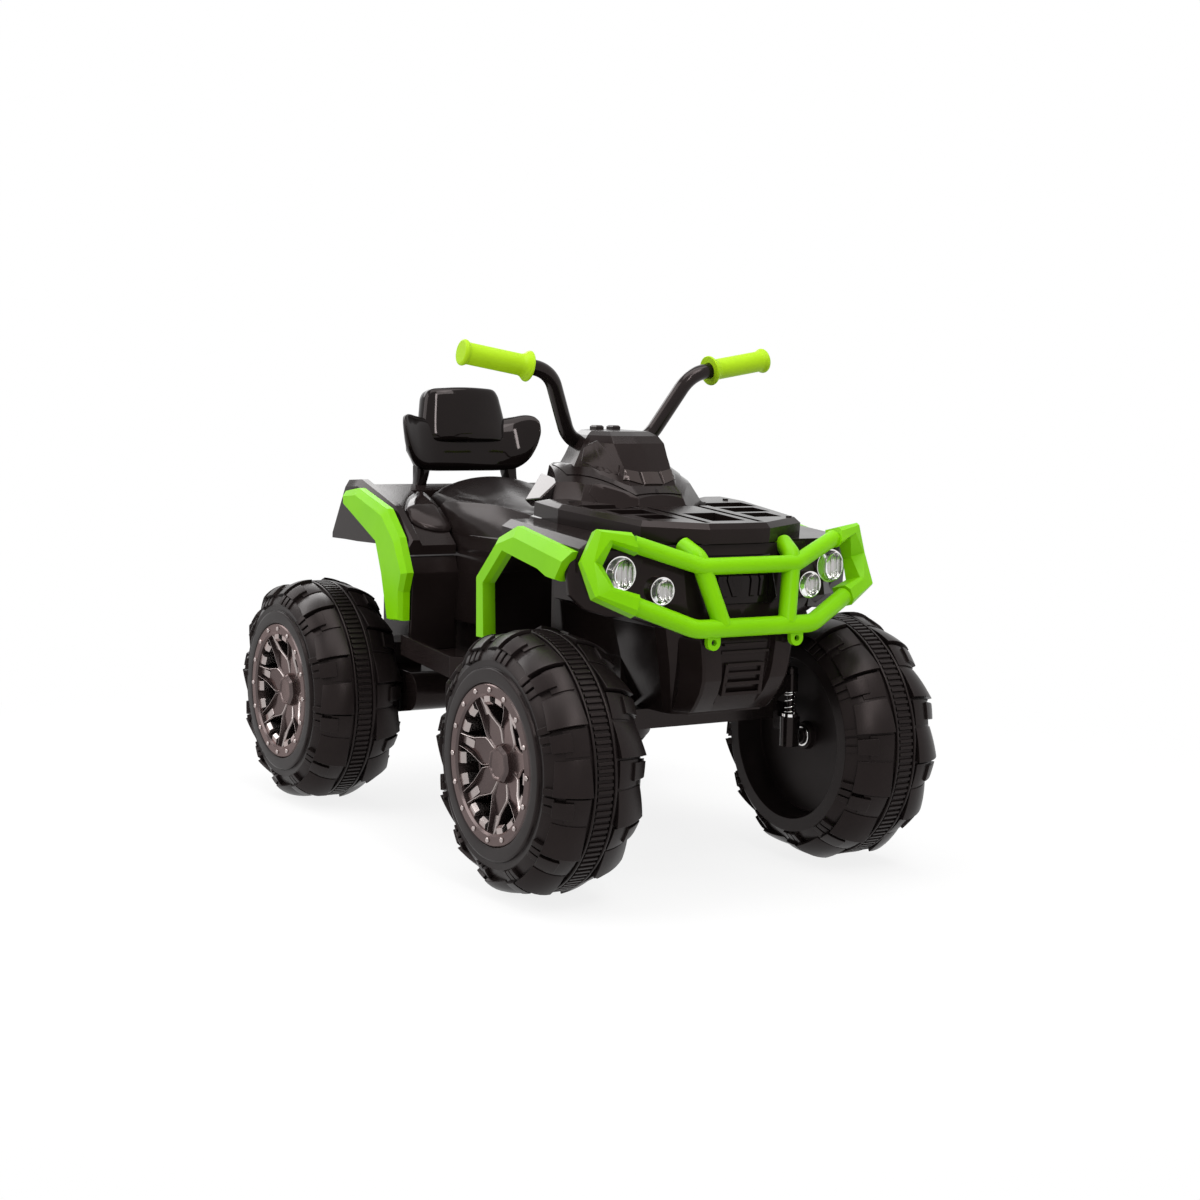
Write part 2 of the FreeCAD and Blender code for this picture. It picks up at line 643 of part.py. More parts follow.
def nose_hollow():
    levels = nose_levels(WALL)
    floor = (levels[0][0] + WALL, levels[0][1])
    lid = (levels[-1][0] + 1, levels[-1][1])
    return loft_z([floor] + levels[1:-1] + [lid])


def grille(block):
    plate = moved(block, X_AXIS * 5).cut(block)
    low = AXLE_Z + 205
    plate = plate.common(box(FRONT_X, BUMPER_X, -60, 60, low, AXLE_Z + 270))
    slots = []
    for number in range(7):
        y = -48 + number * 14
        slots.append(box(FRONT_X, BUMPER_X, y, y + 8, low + 8, AXLE_Z + 258))
    return plate.cut(joined(slots))


# Head lamps: two on each side of the nose
LAMPS = ((LAMP_BIG, 82.0, 168.0, 248.0), (LAMP_SMALL, 103.0, 118.0, 226.0))


def lamp_places():
    for radius, x, y, z in LAMPS:
        for sign in (1, -1):
            yield radius, Vector(FRONT_X + x, sign * y, AXLE_Z + z)


def lamp_hole(radius, face):
    return rod(face - X_AXIS * LAMP_DEPTH, X_AXIS, radius, LAMP_DEPTH + 20)


def lamp_bezel(radius, face):
    shell = rod(face - X_AXIS * LAMP_DEPTH, X_AXIS, radius, LAMP_DEPTH)
    bowl = rod(face - X_AXIS * (LAMP_DEPTH - BEZEL_WALL), X_AXIS, radius - BEZEL_WALL, LAMP_DEPTH)
    return shell.cut(bowl)


def lamp_lens(radius, face):
    size = radius - BEZEL_WALL
    lens = spun([(0.01, 0), (size, 0), (size, LENS_THICK), (size * 0.6, LENS_THICK + 1.8), (0.01, LENS_THICK + 2.4)])
    lens.rotate(Vector(0, 0, 0), Z_AXIS, -90)
    return moved(lens, face - X_AXIS * (LENS_THICK + 4))


# Dash cowl: a rounded tank behind and a faceted base under the handlebar pod
COWL_LOW = [(155, 0), (155, 40), (102, 112), (40, 122), (-25, 98), (-35, 0)]
COWL_TOP = [(120, 0), (120, 30), (72, 74), (45, 104), (-18, 85), (-25, 0)]


def seam_under(lift):
    top = SEAM_Z + lift
    far = 240.0
    profile = [(0.01, TUB_TOP), (far, TUB_TOP), (far, top - (far - SEAM_FLAT) * SEAM_SLOPE), (SEAM_FLAT, top), (0.01, top)]
    shape = spun([(r, z) for r, z in profile])
    shape.rotate(Vector(0, 0, 0), X_AXIS, 90)
    return moved(shape, Vector(STEER_X, 0, 0))


def cowl_block(inset):
    low = [(x - (inset if x > 0 else -inset), max(0, y - inset)) for x, y in COWL_LOW]
    top = [(x - (inset if x > 0 else -inset), max(0, y - inset)) for x, y in COWL_TOP]
    return loft_z([(SEAT_Z, about_steer(low)), (SEAM_Z - 72, about_steer(low)), (SEAM_Z + 2, about_steer(top))])


def tank_profile(half, top):
    return [(0, top), (half * 0.55, top - 4), (half - 8, top - 24), (half, SEAT_Z + 12), (half - 4, SEAT_Z)]


def tank_block(inset):
    start = SEAT_FRONT + FIT_GAP
    stations = [(start + inset, tank_profile(96 - inset, SEAT_Z + 44 - inset)),
                (STEER_X - 30, tank_profile(116 - inset, SEAT_Z + 59 - inset)),
                (DECK_REAR - inset, tank_profile(126 - inset, SEAT_Z + 56 - inset))]
    return loft_x(stations)


BUTTON_X = SEAT_FRONT + 28.0
BUTTON_Y = 36.0
COLLAR_TOP = SEAT_Z + 58.0
ROCKER_LENGTH = 26.0
ROCKER_WIDTH = 15.0
ROCKER_HEIGHT = 12.0


def dash_cowl(deck, start_button_hole, rocker_hole):
    outer = cowl_block(0).common(seam_under(0)).fuse(tank_block(0))
    inner = cowl_block(WALL).common(seam_under(-WALL)).fuse(tank_block(WALL))
    low_cut = box(SEAT_FRONT - 20, DECK_REAR - WALL, -90, 90, SEAT_Z - 5, SEAT_Z + 20)
    hollow = outer.cut(inner).cut(low_cut)
    collar = rod(Vector(BUTTON_X, BUTTON_Y, SEAT_Z + 26), Z_AXIS, BUTTON_RADIUS + 4, COLLAR_TOP - SEAT_Z - 26)
    pocket = box(BUTTON_X - 19, BUTTON_X + 19, -BUTTON_Y - 13, -BUTTON_Y + 13, SEAT_Z + 26, COLLAR_TOP)
    panel = biggest(joined([hollow, collar, pocket]).cut(deck))
    return panel.cut(start_button_hole).cut(rocker_hole).cut(COLUMN_CUT)


def start_button():
    low = COLLAR_TOP - 14
    return rod(Vector(BUTTON_X, BUTTON_Y, low), Z_AXIS, BUTTON_RADIUS, 18)


def start_button_hole():
    low = COLLAR_TOP - 14 - BUTTON_TRAVEL - 1
    return rod(Vector(BUTTON_X, BUTTON_Y, low), Z_AXIS, BUTTON_RADIUS + FIT_GAP, 60)


def rocker_box(extra):
    half_x = ROCKER_LENGTH / 2 + extra
    half_y = ROCKER_WIDTH / 2 + extra
    return half_x, half_y


def direction_switch():
    half_x, half_y = rocker_box(0)
    low = COLLAR_TOP - ROCKER_HEIGHT + 5
    outline = [(-half_x + 2, low), (half_x - 2, low), (half_x, low + ROCKER_HEIGHT), (0, low + ROCKER_HEIGHT - 3),
               (-half_x, low + ROCKER_HEIGHT)]
    body = prism_y([(BUTTON_X + x, z) for x, z in outline], -BUTTON_Y - half_y, -BUTTON_Y + half_y)
    pin = rod(Vector(BUTTON_X, -BUTTON_Y - half_y - 3, low + 4), Y_AXIS, 2, 2 * half_y + 6)
    return body.fuse(pin)


def rocker_hole():
    half_x, half_y = rocker_box(2.5)
    low = COLLAR_TOP - ROCKER_HEIGHT
    well = box(BUTTON_X - half_x, BUTTON_X + half_x, -BUTTON_Y - half_y + 2.1, -BUTTON_Y + half_y - 2.1, low, COLLAR_TOP + 30)
    pin = rod(Vector(BUTTON_X, -BUTTON_Y - half_y - 1, low + 9), Y_AXIS, 2 + FIT_GAP, 2 * half_y + 2)
    return well.fuse(pin)


# Handlebar, grips and pod
BAR_ELBOW = Vector(STEER_X, 63.5, BAR_Z)
BAR_SHOULDER = Vector(STEER_X + 34, 117.5, BAR_Z + 101)
BAR_END = Vector(STEER_X + 26.5, 248, BAR_Z + 123)


def handlebar(radius):
    right_side = [Vector(p.x, -p.y, p.z) for p in (BAR_END, BAR_SHOULDER, BAR_ELBOW)]
    return bent_tube(right_side + [BAR_ELBOW, BAR_SHOULDER, BAR_END], radius, BAR_BEND)


def grip():
    along = (BAR_END - BAR_SHOULDER).normalize()
    tip = 5.0
    inner = GRIP_LENGTH - tip
    profile = [(BAR_RADIUS, -inner), (GRIP_FLANGE, -inner), (GRIP_FLANGE, -inner + 3), (GRIP_RADIUS + 1.5, -inner + 9),
               (GRIP_RADIUS, -inner + 14), (GRIP_RADIUS, -5), (GRIP_RADIUS + 3, 0), (GRIP_RADIUS + 3, tip - 2),
               (GRIP_RADIUS + 1, tip), (0.01, tip), (0.01, 0), (BAR_RADIUS, 0)]
    shape = spun(profile)
    shape.rotate(Vector(0, 0, 0), Y_AXIS.cross(along), math.degrees(Y_AXIS.getAngle(along)))
    return moved(shape, BAR_END)


POD_LEVELS = [
    (-48, [(137, 0), (137, 37), (104, 70), (45, 94), (-12, 86), (-34, 50), (-38, 0)]),
    (-3, [(106, 0), (106, 33), (80, 60), (40, 80), (-12, 72), (-30, 44), (-34, 0)]),
    (44, [(72, 0), (72, 40), (56, 50), (30, 53), (-10, 46), (-22, 32), (-24, 0)]),
    (49, [(64, 0), (64, 34), (50, 43), (28, 45), (-7, 40), (-18, 28), (-20, 0)]),
]
POD_TOP = SEAM_Z + 49.0
KEY_X = STEER_X - 8.0
KEY_Y = 14.0
KEY_LENGTH = 17.0
KEY_WIDTH = 13.0
KEY_HEIGHT = 12.0
KEY_TRAVEL = 1.6


def pod_block(inset):
    levels = []
    for height, half in POD_LEVELS:
        points = [(x - (inset if x > 0 else -inset), max(0, y - inset)) for x, y in half]
        levels.append((SEAM_Z + height, about_steer(points)))
    last, points = levels[-1]
    return loft_z(levels[:-1] + [(last - inset, points)])


def key_block(sign, extra):
    half_x = KEY_LENGTH / 2 + extra
    half_y = KEY_WIDTH / 2 + extra
    return box(KEY_X - half_x, KEY_X + half_x, sign * KEY_Y - half_y, sign * KEY_Y + half_y,
               POD_TOP - KEY_HEIGHT + 6 - 4 * extra, POD_TOP + 6)


def key_button(sign):
    block = key_block(sign, 0)
    top = [edge for edge in block.Edges if edge.BoundBox.ZMin > POD_TOP + 5]
    over_bar = rod(Vector(STEER_X, -60, BAR_Z), Y_AXIS, BAR_RADIUS + KEY_TRAVEL + RUN_GAP, 120)
    return block.makeChamfer(2.0, top).cut(over_bar)


def handlebar_pod(tube, column):
    shell = pod_block(0).cut(seam_under(SEAM_GAP))
    hollow = pod_block(3.0)
    shell = shell.cut(hollow)
    well = box(KEY_X - 14, KEY_X + 14, -26, 26, POD_TOP - 14, POD_TOP - 1)
    holes = [key_block(1, RUN_GAP), key_block(-1, RUN_GAP)]
    boss = well.common(pod_block(1.0)).cut(tube).cut(column)
    return biggest(shell.fuse(boss).cut(joined(holes)).cut(tube).cut(column))


# Front rack on the deck: a bordered tray with three cells each side and two long slots
def front_rack(cowl):
    plan = [(106, 0), (104, 48), (64, 128), (-98, 156), (-172, 150), (-172, 116), (-60, 60), (-60, 0)]
    bevel = 7.0
    rear_slope = 26.0
    inset = [(106 - bevel, 0), (104 - bevel, 46), (64 - bevel, 122), (-98, 156 - bevel),
             (-172 + rear_slope, 150 - bevel), (-172 + rear_slope, 116), (-60, 60), (-60, 0)]
    base_x = FRONT_X - 130

    def level(height, half):
        return (height, [(FRONT_X + x, y) for x, y in half])

    tray = loft_z([level(0, plan), level(RACK_HEIGHT - bevel, plan), level(RACK_HEIGHT, inset)])
    cuts = []
    for sign in (1, -1):
        for start, end in ((-84, -46), (-36, 4), (14, 50)):
            inner = sign * 62
            outer = sign * (134 - 0.28 * (start + 84))
            low, high = sorted((inner, outer))
            cuts.append(box(FRONT_X + start, FRONT_X + end, low, high, -1, RACK_HEIGHT + 1))
        low, high = sorted((sign * 38, sign * 47))
        cuts.append(box(FRONT_X - 64, FRONT_X + 90, low, high, RACK_HEIGHT - 9, RACK_HEIGHT + 1))
    cuts.append(box(FRONT_X + 6, FRONT_X + 78, -26, 26, RACK_HEIGHT - 12, RACK_HEIGHT + 1))
    tray = tray.cut(joined(cuts))
    tray.rotate(Vector(base_x, 0, 0), Y_AXIS, math.degrees(math.atan(DECK_SLOPE)))
    return biggest(moved(tray, Z_AXIS * DECK_Z).cut(cowl))


# Rear fender deck with a raised border, open in the middle for the seat
REAR_STATIONS = [(-58, 252, 233, 0), (-10, 328, 234, 0), (36, 331, 234, 0), (154, 297, 237, 0), (217, 249, 227, 0)]
WELL_HALF = SEAT_HALF + 13.0
WELL_REAR = SEAT_REAR - 7.0


def rear_block(inset):
    stations = []
    for x, top, low, wider in REAR_STATIONS:
        half = REAR_HALF + wider - inset
        height = AXLE_Z + top - inset
        bottom = AXLE_Z + low - (5 if inset else 0)
        first = x == REAR_STATIONS[0][0]
        last = x == REAR_STATIONS[-1][0]
        shift = inset if first else -inset if last else 0
        profile = [(0, height - 8), (half - 22, height - 8), (half - 18, height), (half - 7, height),
                   (half, height - 11), (half, bottom)]
        stations.append((REAR_X + x + shift, profile))
    return loft_x(stations)


def rear_fenders():
    block = rear_block(0)
    front = REAR_X + REAR_STATIONS[-1][0]
    well = box(WELL_REAR, front + 1, -WELL_HALF, WELL_HALF, FLOOR_Z, SEAM_Z)
    sides = box(WELL_REAR - WALL, front, -WELL_HALF - WALL, WELL_HALF + WALL, FLOOR_Z, SEAM_Z).cut(well)
    walls = block.common(sides)
    lid = block.cut(rear_block(WALL)).cut(well)
    ribs = []
    for sign in (1, -1):
        low, high = sorted((sign * 78, sign * 84))
        ribs.append(box(REAR_X - 40, WELL_REAR - WALL + 1, low, high, SEAT_Z, SEAM_Z).common(block))
    return joined([lid, walls] + ribs)


# Seat cushion: crowned sections of one line and three arcs
def seat_section(x, half, edge, crown):
    low = SEAT_Z
    side = edge - low
    left_low = Vector(x, half, low)
    left_top = Vector(x, half - 7, low + side)
    right_low = Vector(x, -half, low)
    right_top = Vector(x, 7 - half, low + side)
    edges = [Part.LineSegment(right_low, left_low).toShape(),
             Part.Arc(left_low, Vector(x, half - 1, low + side * 0.55), left_top).toShape(),
             Part.Arc(left_top, Vector(x, 0, crown), right_top).toShape(),
             Part.Arc(right_top, Vector(x, 1 - half, low + side * 0.55), right_low).toShape()]
    return Part.Wire(edges)


def seat():
    length = SEAT_FRONT - SEAT_REAR
    stations = ((0.0, 0.86, 0.52, 0.78), (0.06, 0.96, 0.66, 0.96), (0.26, 1.0, 0.64, 1.0), (0.52, 0.95, 0.5, 0.84),
                (0.78, 0.82, 0.42, 0.7), (0.95, 0.7, 0.4, 0.64), (1.0, 0.66, 0.3, 0.56))
    wires = []
    for share, width, edge, crown in stations:
        wires.append(seat_section(SEAT_REAR + share * length, SEAT_HALF * width, SEAT_Z + SEAT_CROWN * edge,
                                  SEAT_Z + SEAT_CROWN * crown))
    return Part.makeLoft(wires, True, False)


# Back rest: a shell on two struts, a wing pad and a head pad, leaning back
REST_BASE = Vector(REAR_X + 49, 0, AXLE_Z + 347)
REST_LEAN = 14.5
REST_SHELL = 12.0
WING_THICK = 28.0
HEAD_PROUD = 12.0


def leaned(shape):
    shape.rotate(Vector(0, 0, 0), Y_AXIS, -REST_LEAN)
    return moved(shape, REST_BASE)


def pad_y(outline, depths):
    sections = []
    for x, share in depths:
        points = mirrored([(y * share, 64 + (z - 64) * share) for y, z in outline])
        sections.append([Vector(x, y, z) for y, z in points])
    return loft(sections)


HEAD = [(0, 50), (70, 50), (78, 60), (66, 122), (58, 132), (0, 132)]
WING_STATIONS = [(0, 0, 84, 0, 28), (62, 0, 84, 1, 28), (86, 2, 84, 8, 25), (104, 24, 84, 18, 20), (116, 44, 78, 25, 16),
                 (122, 58, 70, 28, 9)]


def wing_section(y, low, high, front, thick):
    soft = thick * 0.3
    back = front - thick
    return [Vector(x, y, z) for x, z in (
        (back, low + soft), (back + soft, low), (front - soft, low), (front, low + soft), (front, high - soft),
        (front - soft, high), (back + soft, high), (back, high - soft))]


def across(stations):
    left = [wing_section(*station) for station in reversed(stations[1:])]
    right = [wing_section(-y, *rest) for y, *rest in stations]
    return loft(left + right)


def wing_pad():
    return leaned(across(WING_STATIONS))


def head_pad():
    pad = pad_y(HEAD, ((-WING_THICK, 0.96), (-WING_THICK + 6, 1.0), (HEAD_PROUD - 9, 1.0), (HEAD_PROUD, 0.9)))
    return leaned(pad)


def backrest_shell(deck):
    overlap = 3.0
    stations = []
    for y, low, high, front, thick in WING_STATIONS[:4]:
        back = front - thick
        stations.append((y, low + 4, high - 4, back + overlap, REST_SHELL + overlap))
    head_back = -WING_THICK - REST_SHELL
    head_outline = [(0, 60), (62, 60), (62, 80), (56, 124), (0, 124)]
    head = pad_y(head_outline, ((head_back, 0.88), (head_back + 5, 1.0), (-WING_THICK, 1.0)))
    leg = [(-24, 10), (-8, 10), (-13, -18), (-24, -44), (-24, -62), (-42, -62), (-40, -34), (-29, -12)]
    brace = [(-38, 44), (-38, 22), (-60, -66), (-74, -66)]
    legs = []
    for outline, low, high in ((leg, 74, 90), (brace, 78, 92)):
        post = prism_y(outline, low, high)
        legs += [post, flipped(post)]
    return biggest(leaned(joined([across(stations), head] + legs)).cut(deck))


# Green fender trims: slabs with a bevelled upper edge
FRONT_TRIM = [(-183, 139), (-186, 226), (-136, 279), (-86, 298), (54, 275), (27, 235), (2, 237), (-20, 245),
              (-110, 262), (-162, 215), (-158, 139)]
FRONT_TRIM_FACE = [(-180, 141), (-182, 222), (-130, 270), (-82, 284), (44, 262), (26, 238), (4, 240), (-18, 248),
                   (-112, 264), (-164, 216), (-160, 141)]
REAR_TRIM = [(16, 312), (63, 319), (163, 293), (207, 253), (233, 202), (221, 172), (220, 129), (177, 126),
             (156, 196), (135, 242), (18, 290)]
REAR_TRIM_FACE = [(20, 304), (64, 308), (158, 282), (200, 246), (226, 200), (217, 174), (217, 131), (180, 129),
                  (159, 196), (138, 243), (21, 293)]


def front_trim():
    inner = TRIM_OUT - TRIM_DEPTH
    return slab_y(about_front(FRONT_TRIM), about_front(FRONT_TRIM_FACE), inner, TRIM_OUT - 9, TRIM_OUT)


def rear_trim():
    return slab_y(about_rear(REAR_TRIM), about_rear(REAR_TRIM_FACE), REAR_HALF, REAR_TRIM_OUT - 7, REAR_TRIM_OUT)


# Bumper: tubes between faceted corner blocks
LOWER_X = BUMPER_X - TUBE_RADIUS
UPRIGHT = [Vector(FRONT_X + 90, 80, AXLE_Z + 282), Vector(FRONT_X + 119, 74, AXLE_Z + 268),
           Vector(LOWER_X, 51, AXLE_Z + 182)]
UPPER_JOINT = Vector(FRONT_X + 127, 74, AXLE_Z + 258)
LOWER_BEND = Vector(LOWER_X, 92, AXLE_Z + 180)
CORNER = [Vector(FRONT_X + 97, 160, AXLE_Z + 287), Vector(FRONT_X + 84, 197, AXLE_Z + 295),
          Vector(FRONT_X + 82, 212, AXLE_Z + 262), Vector(FRONT_X + 100, 206, AXLE_Z + 226),
          Vector(FRONT_X + 115, 166, AXLE_Z + 210)]
CORNER_MIDDLE = Vector(FRONT_X + 103, 150, AXLE_Z + 250)
CORNER_HALF = 14.0
CORNER_CHAMFER = (0.45, 0.45, 0.95, 0.3, 0.45)
TAB_RADIUS = 10.0
TAB_HOLE = 4.0
TAB_THICK = 7.0
TAB_Y = 66.0


def bumper_corner():
    front = (CORNER[1] - CORNER[0]).cross(CORNER[3] - CORNER[0]).normalize()
    if front.x < 0:
        front = front * -1
    sections = []
    for point, chamfer in zip(CORNER, CORNER_CHAMFER):
        outward = point - CORNER_MIDDLE
        outward = (outward - front * outward.dot(front)).normalize()
        half = CORNER_HALF
        cut = half * chamfer
        sections.append([point + front * a + outward * b for a, b in (
            (half, half - cut), (half - cut, half), (-half, half), (-half, -half), (half - cut, -half),
            (half, cut - half))])
    return loft(sections)


def upright():
    return bent_tube(UPRIGHT, TUBE_RADIUS, 18)


def lower_bar(corners):
    points = [CORNER[4], LOWER_BEND]
    mirror = [Vector(p.x, -p.y, p.z) for p in points]
    bar = bent_tube(points + mirror[::-1], TUBE_RADIUS, 40)
    tabs = []
    holes = []
    for sign in (1, -1):
        middle = Vector(LOWER_X - TAB_THICK / 2, sign * TAB_Y, LOWER_BEND.z - TUBE_RADIUS - 6)
        tabs.append(box(middle.x, middle.x + TAB_THICK, middle.y - TAB_RADIUS, middle.y + TAB_RADIUS, middle.z,
                        LOWER_BEND.z))
        tabs.append(rod(middle, X_AXIS, TAB_RADIUS, TAB_THICK))
        holes.append(rod(middle - X_AXIS * TUBE_RADIUS, X_AXIS, TAB_HOLE, TAB_THICK + 2 * TUBE_RADIUS))
    return biggest(joined([bar] + tabs).cut(joined(holes)).cut(corners))


def upper_bar(corners, uprights):
    points = [CORNER[0], UPPER_JOINT]
    mirror = [Vector(p.x, -p.y, p.z) for p in points]
    return bent_tube(points + mirror[::-1], TUBE_RADIUS - 1, 18).cut(corners).cut(uprights)


# Drive: fixed axle, gearboxes, motors, battery and control box
GEARBOX_OUT = TRACK / 2 - TYRE_BACK - 6.0
MOTOR_X = REAR_X + 150.0
MOTOR_Z = AXLE_Z + 10.0
MOTOR_RADIUS = 18.0
GEAR_CASE = 47.0
CASE_MARGIN = 12.0
BRACKET_LENGTH = 78.0
BRACKET_RISE = 18.0
MOTOR_LENGTH = 58.0


def rear_axle():
    reach = TRACK / 2 + HUB_END + RUN_GAP + NUT_HEIGHT + 2
    return rod(Vector(REAR_X, -reach, AXLE_Z), Y_AXIS, AXLE_RADIUS, 2 * reach)


def axle_nut():
    nut = rod(Vector(REAR_X, TRACK / 2 + HUB_END + RUN_GAP, AXLE_Z), Y_AXIS, NUT_RADIUS, NUT_HEIGHT)
    return nut.cut(rod(Vector(REAR_X, 0, AXLE_Z), Y_AXIS, AXLE_RADIUS, TRACK))


def gearbox():
    width = GEARBOX_OUT - TUB_HALF
    small = MOTOR_RADIUS + CASE_MARGIN
    along = Vector(MOTOR_X - REAR_X, 0, MOTOR_Z - AXLE_Z)
    heading = math.atan2(along.z, along.x)
    spread = math.acos((GEAR_CASE - small) / along.Length)
    outline = []
    for x, z, radius, turns in ((REAR_X, AXLE_Z, GEAR_CASE, (spread, -spread)), (MOTOR_X, MOTOR_Z, small, (-spread, spread))):
        for turn in turns:
            outline.append((x + radius * math.cos(heading + turn), z + radius * math.sin(heading + turn)))
    pieces = [prism_y(outline, TUB_HALF, GEARBOX_OUT),
              rod(Vector(REAR_X, TUB_HALF, AXLE_Z), Y_AXIS, GEAR_CASE, width),
              rod(Vector(MOTOR_X, TUB_HALF, MOTOR_Z), Y_AXIS, small, width),
              box(REAR_X, REAR_X + BRACKET_LENGTH, TUB_HALF, GEARBOX_OUT, AXLE_Z, FLOOR_Z + BRACKET_RISE)]
    bore = rod(Vector(REAR_X, 0, AXLE_Z), Y_AXIS, AXLE_RADIUS, TRACK)
    return joined(pieces).cut(bore).removeSplitter()


def motor():
    can = rod(Vector(MOTOR_X, TUB_HALF - MOTOR_LENGTH, MOTOR_Z), Y_AXIS, MOTOR_RADIUS, MOTOR_LENGTH)
    return can.fuse(rod(Vector(MOTOR_X, TUB_HALF - MOTOR_LENGTH - 4, MOTOR_Z), Y_AXIS, MOTOR_RADIUS * 0.5, 5))


def battery():
    pack = box(REAR_X + 240, REAR_X + 391, -33, 33, FLOOR_Z + WALL, FLOOR_Z + WALL + 94)
    for sign in (1, -1):
        pack = pack.fuse(box(REAR_X + 250, REAR_X + 258, sign * 20 - 3, sign * 20 + 3, FLOOR_Z + WALL + 93,
                             FLOOR_Z + WALL + 100))
    return pack


def control_box():
    return box(REAR_X + 130, REAR_X + 216, -42, 42, FLOOR_Z + WALL, FLOOR_Z + WALL + 32)


def rack_screws(rack):
    heads = []
    for x, y in ((-110, 128), (60, 112)):
        for sign in (1, -1):
            at_x = FRONT_X + x
            top = deck_top(at_x) + RACK_HEIGHT
            head = rod(Vector(at_x, sign * y, top - 3), Z_AXIS, SCREW_RADIUS, 5)
            heads.append(head.cut(rack))
    return Part.makeCompound(heads)


# Assembly: every piece in its place, and neighbours cut to meet face to face
def build():
    nodes = {}
    front_left = Vector(FRONT_X, TRACK / 2, AXLE_Z)
    rear_left = Vector(REAR_X, TRACK / 2, AXLE_Z)
    front_tyre = moved(tyre(HUB_BACK), front_left)
    rear_tyre = moved(tyre(TRACK / 2 - GEARBOX_OUT - RUN_GAP), rear_left)
    wheel_rim = rim()
    for side in SIDES:
        nodes[f"tyre_front_{side}"] = sided(front_tyre, side)
        nodes[f"tyre_rear_{side}"] = sided(rear_tyre, side)
        nodes[f"rim_front_{side}"] = sided(moved(wheel_rim, front_left), side)
        nodes[f"rim_rear_{side}"] = sided(moved(wheel_rim, rear_left), side)
        nodes[f"knuckle_{side}"] = sided(knuckle(), side)
        nodes[f"spring_cup_{side}"] = sided(spring_cup(), side)
        nodes[f"front_spring_{side}"] = sided(coil(KINGPIN + Z_AXIS * SPRING_Z), side)
        nodes[f"front_trim_{side}"] = sided(front_trim(), side)
        nodes[f"rear_trim_{side}"] = sided(rear_trim(), side)
        nodes[f"grip_{side}"] = sided(grip(), side)
        nodes[f"gearbox_{side}"] = sided(gearbox(), side)
        nodes[f"motor_{side}"] = sided(motor(), side)
    bar = handlebar(BAR_RADIUS)
    column = steering_column(bar)
    nodes["handlebar"] = bar.cut(handlebar(BAR_RADIUS - BAR_WALL))
    nodes["steering_column"] = column
    nodes["handlebar_pod"] = handlebar_pod(bar, column)
    nodes["horn_button"] = key_button(1)
    nodes["music_button"] = key_button(-1)
    nodes["steering_linkage"] = steering_linkage()
    nodes["front_axle_beam"] = front_axle_beam()
    nodes["rear_axle"] = rear_axle()
    nodes["rear_axle_nuts"] = both(axle_nut())
    nodes["battery"] = battery()
    nodes["control_box"] = control_box()
    nodes["foot_pedal"] = foot_pedal()
    nodes["start_button"] = start_button()
    nodes["direction_switch"] = direction_switch()
    nodes["seat"] = seat()
    front_walls = both(front_wall())
    rear_walls = both(rear_wall())
    deck = deck_block()
    nodes["front_splash_walls"] = front_walls.cut(deck).cut(cowl_block(0)).cut(tank_block(0))
    nodes["rear_splash_walls"] = rear_walls.cut(rear_block(0))
    nodes["floor_pan"] = floor_pan().cut(front_walls).cut(rear_walls)
    nodes["centre_body"] = centre_body()
    nodes["rear_fenders"] = rear_fenders().cut(centre_block())
    nodes["wing_pad"] = wing_pad().cut(head_pad())
    nodes["head_pad"] = head_pad()
    nodes["backrest_shell"] = backrest_shell(rear_block(0)).cut(nodes["wing_pad"]).cut(nodes["head_pad"])
    corners = both(bumper_corner())
    uprights = both(upright())
    lower = lower_bar(corners)
    nodes["bumper_corners"] = corners
    nodes["bumper_lower_bar"] = lower
    nodes["bumper_uprights"] = uprights.cut(lower)
    nodes["bumper_upper_bar"] = upper_bar(corners, uprights)
    cowl = dash_cowl(deck, start_button_hole(), rocker_hole())
    nodes["dash_cowl"] = cowl
    nodes["front_rack"] = front_rack(cowl).cut(uprights)
    nodes["rack_screws"] = rack_screws(nodes["front_rack"])
    block = nose_block()
    lamp_holes = joined([lamp_hole(radius, face) for radius, face in lamp_places()])
    nodes["nose_cowl"] = biggest(block.cut(nose_hollow()).cut(lamp_holes).cut(uprights).cut(axle_room()))
    nodes["front_fenders"] = biggest(front_fenders(block).cut(centre_block()).cut(lamp_holes).cut(uprights))
    nodes["grille"] = grille(block).cut(uprights)
    nodes["headlamp_bezels"] = Part.makeCompound([lamp_bezel(*place) for place in lamp_places()])
    nodes["headlamp_lenses"] = Part.makeCompound([lamp_lens(*place) for place in lamp_places()])
    return nodes


os.makedirs("parts", exist_ok=True)
for name, shape in build().items():
    shape.exportStep(f"parts/{name}.step")
    print(name, len(shape.Solids), shape.isValid(), round(shape.Volume / 1000, 1), "cm3")
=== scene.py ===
# %% [markdown]
# Kids quad bike: this lesson dresses a ready construction of named pieces, part by part, until it looks like the
# real toy. The construction gives the shapes that carry and move. Here they get their finishes, softened edges, and
# the pieces that are soft, glossy or finely detailed.

# %% Load the construction
import json
import math
import bmesh
import bpy
from mathutils import Matrix, Vector
from mathutils.bvhtree import BVHTree


